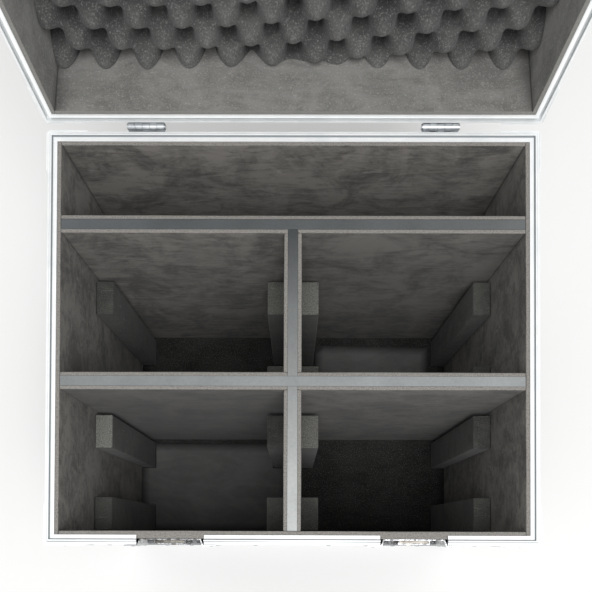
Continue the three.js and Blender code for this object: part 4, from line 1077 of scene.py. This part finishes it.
@dataclass
class BodyFoams:
    """Linings, pads and mats of the body."""

    sizes: CaseSizes
    pad_width: float = 26.0
    pad_length: float = 48.0
    pad_top: float = 285.0
    mat: float = 4.0  # thickness
    step: float = 14.0  # of the sheets' grids
    seam: float = 2.6  # width of the dark seams
    behind_dish: Triple = (68.0, 241.0, 329.0)  # half width, bottom and top of a handle's dish
    thinned: float = 2.4  # thickness of the sheet there
    packing: float = 9.4  # thickness of the packings behind the latches
    packing_bottom: float = 357.0
    loose_mat: Pair = (211.0, 150.0)  # width and depth
    loose_turn: float = -0.8  # degrees
    loose_y: float = 36.0  # its middle
    loose_gap: float = 2.5  # between the loose mat and the pads beside it
    curl: float = 2.6  # how far the loose mat's corner lifts
    fitted_gap: float = 8.0  # between the fitted mat and the lining behind it
    setback: float = 5.0  # between the rear pads and the lining behind them
    shorter: float = 5.0  # that the front pads of the middle bays are
    edge: float = 0.7  # how far a flat sheet's rounded edge reaches

    def bays(self) -> list[Bay]:
        """The four bays between the dividers.

        Returns:
            Them, middle and front, left and then right.
        """
        s = self.sizes
        face = s.half_divider + s.sheet
        middle = (s.middle_divider + face, s.rear_divider - face)
        front = (-s.lining[1], s.middle_divider - face)
        length, back = self.pad_length, self.setback
        short = length - self.shorter
        return [
            Bay(Side.LEFT, "middle", *middle, back, short, True, (0.35, 0.1, 0.3, None)),
            Bay(Side.LEFT, "front", *front, back, length, False, (0.0, 0.9, 0.1, 0.15)),
            Bay(Side.RIGHT, "middle", *middle, back, short, True, (0.7, 0.1, 0.3, 0.1)),
            Bay(Side.RIGHT, "front", *front, back, length, False, (0.6, 0.1, 0.15, 0.2)),
        ]

    def even(self, low: float, high: float, extra: Sequence[float] = ()) -> np.ndarray:
        """Places along a flat sheet."""
        return stops(low, high, self.step, self.edge, extra)

    def wall(self, axis: int, sign: int, face: float, back: Heights, span: Pair,
             heights: Pair, seed: float, extra_u: Sequence[float] = (),
             extra_v: Sequence[float] = ()) -> Surface:
        """An upright sheet of foam.

        Args:
            axis: 0 if the sheet faces along X, 1 if along Y.
            sign: the way that the back lies from the face, 1 or -1.
            face: where the face is on that axis.
            back: function of the grids that gives the thickness.
            span: from where to where the sheet runs.
            heights: its lower and upper ends.
            seed: turns the ripples.
            extra_u: grid places along the span.
            extra_v: grid heights.

        Returns:
            The sheet's surface.
        """
        u = stops(*span, self.step, self.seam, extra_u)
        v = self.even(*heights, (*extra_v, heights[0] + self.seam))
        return Slab(u, v, rippled(0.0, 0.5, seed), lambda a, b: -back(a, b), *upright(axis, sign, face),
                    sawn=Sawn.HIGH, seam=self.seam).surface()

    def stepped(self, axis: int) -> Heights:
        """Thickness of a sheet on the case's own walls: less on the rim's inner leg than below it.

        Args:
            axis: 0 for the side walls, 1 for the front and the back.

        Returns:
            A function of the two grids.
        """
        s = self.sizes
        below, above = s.board[axis] - s.lining[axis], s.leg[axis] - s.lining[axis]
        return lambda u, v: np.where(v > s.leg_bottom, above, below)

    def side_back(self, u: np.ndarray, v: np.ndarray) -> np.ndarray:
        """Thickness of a side wall's sheet, thinned behind the handle's dish.

        Args:
            u, v: the sheet's grids.

        Returns:
            The thickness at each place.
        """
        half, bottom, top = self.behind_dish
        behind = (np.abs(u) < half) & (v > bottom) & (v < top)
        return np.where(behind, self.thinned, self.stepped(0)(u, v))

    def front_back(self, u: np.ndarray, v: np.ndarray) -> np.ndarray:
        """Thickness of the front wall's sheet, with the packings that fill the rim's gaps at the latches."""
        packed = (np.abs(np.abs(u) - self.sizes.latch_x) < self.sizes.notch) & (v > self.packing_bottom)
        return np.where(packed, self.packing, self.stepped(1)(u, v))

    def case_lining(self) -> None:
        """Front wall, floor, back wall and the sheet on the rear divider's back."""
        s = self.sizes
        end = s.lining[0] - s.seat
        edges = split_at(*(x * s.latch_x + y * s.notch for x in (-1, 1) for y in (-1, 1)))
        rebate = [*split_at(s.leg_bottom), *split_at(self.packing_bottom, gap=0.1)]
        tall = (s.floor + 0.05, s.top)
        divider = s.rear_divider + s.half_divider + s.seat
        parts = [
            self.wall(1, -1, -s.lining[1], self.front_back, (-end, end), tall, 0.4, edges, rebate),
            self.wall(1, 1, s.lining[1], self.stepped(1), (-end, end), tall, 1.7, (), rebate),
            self.wall(1, -1, divider + s.sheet - s.seat, level(s.sheet - 2 * s.seat), (-end, end), tall, 2.9),
        ]
        make_piece("case_lining_foam", Surface.joined(parts), CASE_LINING, Body.CASE,
                   ["case_lining"])
        floor = Slab(self.even(-end, end), self.even(-s.board[1], s.board[1]), rippled(s.floor, 0.3, 5.1),
                     level(s.floor_bottom), LEVEL).surface()
        make_piece("case_floor_foam", floor, FLOOR, Body.CASE, ["case_lining"])

    def side_linings(self) -> None:
        """The sheet on each side wall."""
        s = self.sizes
        half, *ends = self.behind_dish
        across, heights = split_at(-half, half), split_at(s.leg_bottom, *ends)
        for side in Side:
            sign = side.value
            sheet = self.wall(0, sign, sign * s.lining[0], self.side_back, (-s.leg[1], s.leg[1]),
                              (s.floor_bottom, s.top), 0.9 + sign, across, heights)
            name = f"{side.word}_lining"
            make_piece(f"{name}_foam", sheet, SIDE_LINING, Body.CASE, [name])

    def bay_linings(self) -> None:
        """Sheets on the dividers' faces that turn round each bay."""
        s = self.sizes
        near, far = s.half_divider + s.sheet, s.lining[0] - s.seat
        glue = level(s.sheet - s.seat)
        tall = (s.floor + s.seat, s.top)
        for k, bay in enumerate(self.bays()):
            sign = bay.side.value
            span = tuple(sorted((sign * s.half_divider + sign * s.seat, sign * far)))
            along = (bay.front + (0.0 if bay.wraps_front else s.seat), bay.back)
            parts = [
                self.wall(1, 1, bay.back, glue, span, tall, 1.3 * k),
                self.wall(0, -sign, sign * near, glue, along, tall, 2.1 * k + 0.7),
            ]
            if bay.wraps_front:
                parts.append(self.wall(1, -1, bay.front, glue, span, tall, 1.9 * k + 0.3))
            make_piece(f"{bay.name}_foam", Surface.joined(parts), BAY_LININGS[bay.name], Body.CASE,
                       [f"{bay.name}_lining"])

    def pads(self) -> None:
        """The upright pads in the corners of each bay."""
        s = self.sizes
        near, far = s.half_divider + s.sheet, s.lining[0]
        low = s.floor + s.seat
        for bay in self.bays():
            spans = [(bay.back - s.seat - bay.setback - self.pad_length, bay.back - s.seat - bay.setback),
                     (bay.front + s.seat, bay.front + s.seat + bay.front_pad)]
            corners = [(y, x) for y in spans for x in ((near, near + self.pad_width), (far - self.pad_width, far))]
            blocks = []
            for ((y0, y1), across), tone in zip(corners, bay.tones):
                if tone is None:
                    continue
                x0, x1 = sorted(bay.side.value * x for x in across)
                block = foam_block((x0, y0, low), (x1, y1, self.pad_top), radius=1.6, swell=0.5)
                # Painted shadow: the side against the side wall gets the dark seam, standing in for the shadow of a
                # gap at the wall.
                painted_shadow_side = np.abs(block.points[:, 0] - bay.side.value * max(across, key=abs)) < 1.7
                top = np.where(block.points[:, 2] > self.pad_top - 1.2, tone, 0.0)
                block.cut = np.where(painted_shadow_side & (max(across) == far), -1.0, top)
                blocks.append(block)
            make_piece(f"{bay.name}_pads", Surface.joined(blocks), PADS, Body.CASE)

    def mats(self) -> None:
        """The fitted mat of the front left bay and the loose one of the middle right bay."""
        s = self.sizes
        near, far = s.half_divider + s.sheet + s.seat, s.lining[0] - s.seat
        front, back = -s.lining[1], s.middle_divider - s.half_divider - s.sheet
        inner = self.pad_width + 2 * s.seat
        rows = (front + self.pad_length + 2 * s.seat, back - self.setback - self.pad_length - 2 * s.seat)

        def over_pads(u: np.ndarray, v: np.ndarray) -> np.ndarray:
            """True where a pad stands through the mat."""
            beside = (u > -near - inner) | (u < -far + inner)
            return beside & ((v < rows[0]) | (v > rows[1]))

        bottom = s.floor + s.seat
        extra_u, extra_v = ([c + e for c in cuts for e in (-self.edge, 0.0, self.edge)]
                            for cuts in ((-near - inner, -far + inner), rows))
        fitted = Slab(self.even(-far, -near, extra_u), self.even(front + 2 * s.seat, back - self.fitted_gap, extra_v),
                      rippled(bottom + self.mat, 0.5, 3.3), level(bottom), LEVEL, missing=over_pads).surface()
        make_piece("front_left_mat_foam", fitted, FITTED_MAT, Body.CASE, ["front_left_mat"])
        (width, depth), turn = self.loose_mat, math.radians(self.loose_turn)
        axes = np.array([[math.cos(turn), math.sin(turn), 0.0], [-math.sin(turn), math.cos(turn), 0.0], [0, 0, 1.0]])
        centre = (near - s.seat + self.pad_width + self.loose_gap + width / 2, self.loose_y, bottom)

        def lift(u: np.ndarray, v: np.ndarray) -> np.ndarray:
            """The corner nearest the middle of the case curls up by the fourth power of the way to it."""
            return self.curl * np.clip((0.5 - u / width) * (0.5 + v / depth), 0, 1) ** 4

        loose = Slab(self.even(-width / 2, width / 2), self.even(-depth / 2, depth / 2),
                     lambda u, v: rippled(self.mat, 0.4, 8.2)(u, v) + lift(u, v), lift, axes, centre).surface()
        make_piece("middle_right_mat_foam", loose, MAT, Body.CASE, ["middle_right_mat"])

    def build(self) -> None:
        """Builds every foam of the body."""
        self.case_lining()
        self.side_linings()
        self.bay_linings()
        self.pads()
        self.mats()


@dataclass
class LidFoams:
    """The lid's wall lining and its egg-crate sheet."""

    sizes: CaseSizes
    place: LidPlace
    foam_back: float = 521.2  # height of the crate's back on the closed case
    base: float = 20.0  # from the back to the valleys
    bump: float = 32.0  # from there to the crowns
    pitch: float = 50.0  # of the fingers, both ways
    first_row: float = 231.0  # y of a row of crowns
    offset: float = 0.5  # x of a valley in that row
    drift: float = 25.0  # how far the rows have crept off the hinge side by the right-hand end
    drift_span: Pair = (-170.0, 285.0)
    foot: float = 0.22  # share of the wave that is flat valley
    grid: float = 2.4  # of the crate
    leg_height: float = 12.3  # of the rim's inner leg over the parting plane
    step: float = 14.0  # of the lining's grids
    edge: float = 0.7  # how far a sheet's rounded edge reaches at its long sides
    end: float = 1.8  # and at its short sides

    def opened(self, surface: Surface) -> Surface:
        """A surface of the closed lid, turned to the open pose."""
        return Surface(self.place.open(surface.points), surface.faces, surface.cut)

    def lining(self) -> None:
        """Four sheets on the lid's walls, rebated behind the rim's inner leg."""
        s = self.sizes
        leg_top = s.parting + self.leg_height
        heights = (s.parting + s.seat, self.foam_back)
        v = stops(*heights, self.step, self.edge, split_at(leg_top))
        parts = []
        for axis in (0, 1):
            near, over = s.leg[axis] - s.lining[axis], s.board[axis] - s.lining[axis]
            reach = s.leg[1] if axis == 0 else s.lining[0] - 0.05
            for sign in (1, -1):
                parts.append(Slab(stops(-reach, reach, self.step, self.end), v,
                                  rippled(0.0, 0.5, 1.1 * sign + axis), rebated(near, over, leg_top),
                                  *upright(axis, sign, sign * s.lining[axis]), sawn=Sawn.LOW).surface())
        make_piece("lid_lining_foam", self.opened(Surface.joined(parts)), LID_LINING, Body.LID,
                   ["lid_lining"])

    def height(self, x: np.ndarray, y: np.ndarray) -> np.ndarray:
        """How far the egg-crate face stands from its back.

        The rows creep by drift u^2 (3 - 2u), with u from 0 to 1 over the span. With w = -cos(2 pi (x - offset) /
        pitch) cos(2 pi (y - first row + creep) / pitch) and c = (1 + w) / 2, the share t is the square root of
        (c - foot) / (1 - foot), and 0 below that. So the fingers are full and the valleys narrow. The face stands
        base + bump t off the back, less a slow unevenness.

        Args:
            x, y: places on the closed case.

        Returns:
            The height at each place.
        """
        turn = 2 * math.pi / self.pitch
        low, high = self.drift_span
        u = np.clip((x - low) / (high - low), 0, 1)
        creep = self.drift * u * u * (3 - 2 * u)
        w = -np.cos(turn * (x - self.offset)) * np.cos(turn * (y - self.first_row + creep))
        t = np.sqrt(np.clip(((1 + w) / 2 - self.foot) / (1 - self.foot), 0, 1))
        uneven = 0.6 * np.sin(x / 37.0 + 1.0) * np.sin(y / 29.0) + 0.5 * np.sin(x / 11.0 + y / 13.0) - 1.2
        return self.base + self.bump * t + uneven * t

    def shade(self, points: np.ndarray) -> np.ndarray:
        """Painted light and shade on the foam: a painted highlight on the crowns, painted shade on the flanks that
        face along X and in the valleys.

        With g the steepness |dh/dx| over its largest value and t the share of the full height, it is
        0.5 t - 0.75 g - 0.35 (1 - t).

        Args:
            points: points of the closed lid's foam.

        Returns:
            A number from -1 to 1 for each point.
        """
        x, y = points[:, 0], points[:, 1]
        here = self.height(x, y)
        slope = np.abs(self.height(x + 0.5, y) - self.height(x - 0.5, y))
        steep, t = slope / slope.max(), np.clip((here - self.base) / self.bump, 0, 1)
        return 0.5 * t - 0.75 * steep - 0.35 * (1 - t)

    def crate(self) -> None:
        """The egg-crate sheet, glued to the lid's top board."""
        s = self.sizes
        x_end, y_end = s.lining[0] - s.seat, s.lining[1] - s.seat
        u, v = stops(-x_end, x_end, self.grid, 1.0), stops(-y_end, y_end, self.grid, 1.0)
        axes = np.array([[1.0, 0.0, 0.0], [0.0, 1.0, 0.0], [0.0, 0.0, -1.0]])
        sheet = Slab(u, v, self.height, level(0.0), axes, (0.0, 0.0, self.foam_back), ease=0.8).surface()
        # Painted light and shade, carried in the attribute named cut.
        sheet.cut = self.shade(sheet.points)
        make_piece("lid_crate_foam", self.opened(sheet), CRATE, Body.LID, ["lid_foam"],
                   sharp=60.0)

    def build(self) -> None:
        """Builds the lid's foams."""
        self.lining()
        self.crate()


@dataclass
class Fasteners:
    """Rivets and screws of the aluminium, the fittings and the feet."""

    sizes: CaseSizes
    place: LidPlace
    spacing: float = 88.0  # about, along a row
    leg: float = 15.0  # from a corner to the middle of an angle's leg
    brace: float = 1.5  # how far the corner braces stand proud
    brace_along: Pair = (16.0, 36.0)  # from a corner to the rivets of a brace
    flange: float = 1.5  # how far the latches' flanges do
    ball_plate: float = 1.8  # how far the ball corners' plates do
    ball_across: float = 13.5  # from a corner to the middle of a plate's arm
    ball_along: Pair = (36.0, 50.0)  # and to the rivets along it
    handle_z: float = 285.0
    hinge_x: float = 179.0
    hinge_leaf: float = 253.8  # y of the leaves' outer faces
    foot: Triple = (234.0, 188.0, -6.0)
    edge_end: float = 84.0  # from a corner to an edge angle's first rivet
    rim_end: float = 76.0  # and to a rim's
    edge_in: Pair = (14.0, 15.5)  # edge rows over the body's bottom and under the lid's top
    upright_top: float = 350.0
    rim_rows: Pair = (401.0, 428.5)
    brace_rows: Pair = (389.0, 440.0)
    at_hinges: Pair = (133.0, 225.0)  # stretches of the rims with no rivet
    at_latches: Pair = (80.0, 215.0)

    @staticmethod
    def run(low: float, high: float, spacing: float, taken: Optional[Pair] = None) -> np.ndarray:
        """Even places between two ends, without those in a stretch that is taken on both sides of the middle.

        Args:
            low: first place.
            high: last place.
            spacing: about how far apart they are.
            taken: how near to the middle and how far from it the stretch is.

        Returns:
            The places.
        """
        places = np.linspace(low, high, max(2, round((high - low) / spacing) + 1))
        if taken is None:
            return places
        return places[(np.abs(places) < taken[0]) | (np.abs(places) > taken[1])]

    def ring(self, height: float, inset: float, front: Optional[Pair] = None, back: Optional[Pair] = None) -> Rows:
        """Places round the four sides of the case at one height.

        Args:
            height: height of the row.
            inset: how far the first and last stand from the corners.
            front: a stretch of the front that is taken, as in run.
            back: and one of the back.

        Returns:
            Places and normals.
        """
        outer, unit = self.sizes.outer, np.eye(3)
        groups = []
        for sign, taken in ((-1, front), (1, back)):
            for along, stretch in ((0, taken), (1, None)):
                reach, across = outer[along] - inset, 1 - along
                spots = self.run(-reach, reach, self.spacing, stretch)[:, None] * unit[along]
                groups.append((spots + sign * outer[across] * unit[across] + height * unit[2],
                               np.tile(sign * unit[across], (len(spots), 1))))
        return stacked(*groups)

    def uprights(self, low: float, high: float) -> Rows:
        """Places on both legs of the four upright angles.

        Args:
            low: height of the lowest pair.
            high: height of the highest.

        Returns:
            Places and normals.
        """
        x, y = self.sizes.outer
        heights = self.run(low, high, self.spacing)
        rows = [place for z in heights for place in ((x - self.leg, y, z), (x, y - self.leg, z))]
        return mirrored(rows, [(0, 1, 0), (1, 0, 0)] * len(heights))

    def braces(self, height: float) -> Rows:
        """Two places on each arm of the rims' corner braces.

        Args:
            height: height of the row.

        Returns:
            Places and normals.
        """
        x, y = self.sizes.outer
        rows = [place for along in self.brace_along
                for place in ((x - along, y + self.brace, height), (x + self.brace, y - along, height))]
        return mirrored(rows, [(0, 1, 0), (1, 0, 0)] * 2)

    def corners(self, z: float, inward: int) -> Rows:
        """Two places on each arm of every face plate of four ball corners.

        Args:
            z: height of the case's face there.
            inward: 1 if the case lies above that height and -1 if below.

        Returns:
            Places and normals.
        """
        into = np.array([-1.0, -1.0, inward])
        spots = np.array([pair for a in self.ball_along for pair in ((a, self.ball_across), (self.ball_across, a))])
        rows, normals = [], []
        for axis in range(3):
            offset = np.zeros((len(spots), 3))
            offset[:, [(axis + 1) % 3, (axis + 2) % 3]] = spots
            offset[:, axis] = -self.ball_plate
            rows.append(np.array([*self.sizes.outer, z]) + offset * into)
            normals.append(np.tile(-np.eye(3)[axis] * into, (len(spots), 1)))
        return mirrored(np.concatenate(rows), np.concatenate(normals))

    def opened(self, rows: Rows) -> Rows:
        """Places and normals of the closed lid, turned to the open pose.

        Args:
            rows: places and normals.

        Returns:
            The turned ones.
        """
        places, normals = rows
        turned = self.place.open(places)
        return turned, self.place.open(places + normals) - turned

    def latch_rows(self, lid: bool) -> Rows:
        """Places on the flanges of the latches' dishes or keepers.

        Args:
            lid: true for the keepers.

        Returns:
            Places and normals.
        """
        s = self.sizes
        if lid:
            spots = [(48.0, s.rim + 13), (48.0, s.rim + 28), (21.0, s.rim + 32.5)]
        else:
            spots = [(48.0, s.rim - 14), (48.0, s.rim - 36), (44.0, s.rim - 58), (16.0, s.rim - 62)]
        rows = [(s.latch_x + m * x, -s.outer[1] - self.flange, z) for m in (-1, 1) for x, z in spots]
        return mirrored(rows, [(0, -1, 0)] * len(rows), depth=(1,))

    def handle_rows(self) -> Rows:
        """Places on the flanges of the handles' dishes.

        Returns:
            Places and normals.
        """
        spots = [(73, 40), (73, 0), (73, -40), (36, 48.5), (36, -48.5)]
        rows = [(self.sizes.outer[0], y, self.handle_z + z) for y, z in spots]
        return mirrored(rows, [(1, 0, 0)] * len(rows))

    def hinge_rows(self, up: int) -> Rows:
        """Places on the hinges' leaves, up 1 for the lid's and -1 for the body's."""
        rows = [(self.hinge_x + x, self.hinge_leaf, self.sizes.rim + up * z) for x in (-14, 14) for z in (14, 30)]
        return mirrored(rows, [(0, 1, 0)] * len(rows), depth=(1,))

    def foot_rows(self) -> Rows:
        """Places of the screws in the feet."""
        return mirrored([self.foot], [(0, 0, -1)])

    def build(self) -> None:
        """Sets every group of fasteners."""
        s = self.sizes
        bottom, top = (self.ring(height, self.edge_end) for height in (self.edge_in[0], s.lid_top - self.edge_in[1]))
        body_rim, lid_rim = (self.ring(height, self.rim_end, self.at_latches, self.at_hinges)
                             for height in self.rim_rows)
        edges = stacked(bottom, self.uprights(self.edge_end, self.upright_top))
        for name, stud, rows, body, finish in (
            ("body_edge_rivets", RIVET, edges, Body.CASE, ZINC),
            ("body_rim_rivets", SMALL_RIVET, body_rim, Body.CASE, ZINC),
            ("lid_edge_rivets", RIVET, top, Body.LID, ZINC),
            ("lid_rim_rivets", SMALL_RIVET, lid_rim, Body.LID, ZINC),
            ("body_brace_rivets", SMALL_RIVET, self.braces(self.brace_rows[0]), Body.CASE, ZINC),
            ("lid_brace_rivets", SMALL_RIVET, self.braces(self.brace_rows[1]), Body.LID, ZINC),
            ("body_corner_rivets", SMALL_RIVET, self.corners(s.under, 1), Body.CASE, ZINC),
            ("lid_corner_rivets", SMALL_RIVET, self.corners(s.lid_top, -1), Body.LID, ZINC),
            ("latch_rivets", SMALL_RIVET, self.latch_rows(False), Body.CASE, CHROME),
            ("keeper_rivets", SMALL_RIVET, self.latch_rows(True), Body.LID, CHROME),
            ("handle_rivets", SMALL_RIVET, self.handle_rows(), Body.CASE, ZINC),
            ("hinge_body_rivets", SMALL_RIVET, self.hinge_rows(-1), Body.CASE, ZINC),
            ("hinge_lid_rivets", SMALL_RIVET, self.hinge_rows(1), Body.LID, ZINC),
            ("foot_screws", SCREW, self.foot_rows(), Body.CASE, ZINC),
        ):
            placed = self.opened(rows) if body is Body.LID else rows
            make_piece(name, stud.surface(*placed), finish, body, sharp=60.0)


def mirrored(rows: Sequence, normals: Sequence, depth: Sequence[int] = (-1, 1)) -> Rows:
    """Places and normals of the right-hand rear quarter, mirrored to both sides and to each end.

    Args:
        rows: the places.
        normals: the directions that the heads stand in.
        depth: signs that y is multiplied by: both ends, or 1 alone for the end that the places are at.

    Returns:
        All places and normals.
    """
    signs = np.array([(sx, sy, 1.0) for sx in (-1, 1) for sy in depth])
    return tuple((signs[:, None] * np.array(part, float)[None]).reshape(-1, 3) for part in (rows, normals))


def stacked(*groups: Rows) -> Rows:
    """Several groups of places and normals as one."""
    return tuple(np.concatenate(parts) for parts in zip(*groups))


@dataclass
class HardParts:
    """Metal, board and rubber pieces whose shapes come from the CAD solids."""

    def build(self) -> None:
        """Dresses the boards, and shows the metals and rubbers as refined copies."""
        for node in ("base_panel", "front_panel", "back_panel", "left_panel", "right_panel", "lid_shell"):
            self.dress(node, BOARD)
        self.dress("rear_divider", REAR_DIVIDER)
        self.dress("middle_divider", MIDDLE_DIVIDER)
        self.dress("centre_divider", CENTRE_DIVIDER)
        soft, plain, bar = Refined(bevel=0.3), Refined(bevel=0.0), Refined(bevel=0.0, smooth=50.0)
        soft.show("body_edge_frame", BODY_EDGES, "aluminium")
        soft.show("lid_edge_frame", LID_EDGES, "aluminium")
        for end in ("rim", "rim_front"):
            soft.show(f"body_{end}", BODY_ALUMINIUM, "aluminium")
            soft.show(f"lid_{end}", LID_ALUMINIUM, "aluminium")
        for place in ("front_left", "front_right", "rear_left", "rear_right"):
            for part in ("body", "lid"):
                plain.show(f"{part}_ball_corner_{place}", ZINC, "zinc_steel")
            Refined(bevel=0.6).show(f"foot_{place}", RUBBER, "rubber")
        for side in Side:
            for part, look, finish, slot in (
                ("latch_dish", plain, DISH, "bright_steel"),
                ("latch_keeper", plain, CHROME, "bright_steel"),
                ("latch_wing", plain, CHROME, "bright_steel"),
                ("latch_tongue", plain, DARK_LATCH_STEEL, "bright_steel"),
                ("latch_rotor", plain, DARK_LATCH_STEEL, "bright_steel"),
                ("handle_dish", plain, ZINC, "zinc_steel"),
                ("handle_bow", bar, CHROME, "bright_steel"),
                ("handle_sleeve", bar, RUBBER, "rubber"),
                ("hinge_body_leaf", plain, ZINC, "zinc_steel"),
                ("hinge_lid_leaf", plain, ZINC, "zinc_steel"),
                ("hinge_pin", plain, ZINC, "zinc_steel"),
            ):
                look.show(f"{side.word}_{part}", finish, slot)

    def dress(self, node: str, finish: Finish) -> None:
        """Gives a CAD node its finish where it is.

        Args:
            node: the CAD node's name.
            finish: the finish to give.
        """
        for slot in frame["nodes"][node].material_slots:
            slot.material = finish.material()
        LOG.info("%s: CAD solid dressed with %s", node, finish.label)


# Studio


@dataclass
class Studio:
    """White floor and room, soft overhead light and the camera."""

    ambient: float = 0.75
    lens: float = 36.571
    location: Triple = (2.9, -234.9, 1140.5)
    turns: Triple = (0.786, 0.163, 0.193)  # degrees about X, Y and Z from looking straight down
    shift: Pair = (0.0055, 0.383)
    reach: float = 12.0  # m from the middle of the floor to its edge

    def floor(self) -> None:
        """A wide pale floor that keeps the case's shadow."""
        mesh = bpy.data.meshes.new("studio_floor")
        corners = [(x * self.reach, y * self.reach) for x, y in ((-1, -1), (1, -1), (1, 1), (-1, 1))]
        height = CAD_BOX[0][2] - 0.1 * MM
        mesh.from_pydata([(x, y, height) for x, y in corners], [], [(0, 1, 2, 3)])
        material = bpy.data.materials.new("white_studio_paper")
        material.use_nodes = True
        tree = material.node_tree
        feed(tree, tree.nodes[SHADER], {
            "Base Color": hex_to_linear("#F4F4F3"), "Roughness": 0.9, "Specular IOR Level": 0.1})
        mesh.materials.append(material)
        floor = put("studio_floor", mesh)

    def world(self) -> None:
        """A plain room that lights softly, and is white where the camera or a reflection sees it."""
        world = bpy.data.worlds.new("white_room")
        bpy.context.scene.world = world
        world.use_nodes = True
        tree = world.node_tree
        path = add_node(tree, "ShaderNodeLightPath")
        seen = 0.0
        for ray in ("Is Camera Ray", "Is Glossy Ray", "Is Transmission Ray"):
            seen = add_node(tree, "ShaderNodeMath", {0: seen, 1: path.outputs[ray]}, operation="MAXIMUM")
        strength = add_node(tree, "ShaderNodeMapRange", {"Value": seen, "To Min": self.ambient, "To Max": 1.0})
        feed(tree, tree.nodes["Background"], {"Color": hex_to_linear("#FFFFFF"), "Strength": strength})

    @staticmethod
    def placed(place: Sequence[float]) -> Vector:
        """A place given in millimetres from the base panel's centre, in metres from the origin."""
        return Vector((np.array(place) + BASE) * MM)

    def lamp(self, name: str, place: Sequence[float], target: Sequence[float], size: float, watts: float) -> None:
        """A square soft box that looks at a point.

        Args:
            name: the lamp's name.
            place: where it hangs, in millimetres from the base panel's centre.
            target: what it looks at, counted in the same way.
            size: the length of its side.
            watts: its power.
        """
        data = bpy.data.lights.new(name, "AREA")
        data.shape = "SQUARE"
        data.size = size
        data.energy = watts
        lamp = put(name, data)
        lamp.location = self.placed(place)
        lamp.rotation_euler = (self.placed(target) - lamp.location).to_track_quat("-Z", "Y").to_euler()

    def camera(self) -> None:
        """A camera over the front of the case that looks down, with the photograph's lens and framing."""
        data = bpy.data.cameras.new("camera")
        data.lens = self.lens
        data.sensor_width = 36.0
        data.shift_x, data.shift_y = self.shift
        data.clip_start = 0.01
        camera = put("camera", data)
        tilt, pan, roll = (Matrix.Rotation(math.radians(turn), 4, axis) for turn, axis in zip(self.turns, "XYZ"))
        camera.matrix_world = Matrix.Translation(self.placed(self.location)) @ tilt @ pan @ roll
        bpy.context.scene.camera = camera

    def build(self) -> None:
        """Sets up the studio."""
        self.camera()
        self.floor()
        self.world()
        self.lamp("front_soft_box", (250.0, -970.0, 2770.0), (0.0, -50.0, 400.0), size=1.5, watts=42.0)
        bpy.context.scene.view_settings.view_transform = "Standard"
        LOG.info("studio is set")


def main() -> None:
    """Builds the studio and the case, sub-assembly by sub-assembly."""
    logging.basicConfig(level=logging.INFO, format="%(name)s: %(message)s")
    sizes, place = CaseSizes(), LidPlace()
    Studio().build()
    HardParts().build()
    BodyFoams(sizes).build()
    LidFoams(sizes, place).build()
    Fasteners(sizes, place).build()


if __name__ == "__main__":
    main()
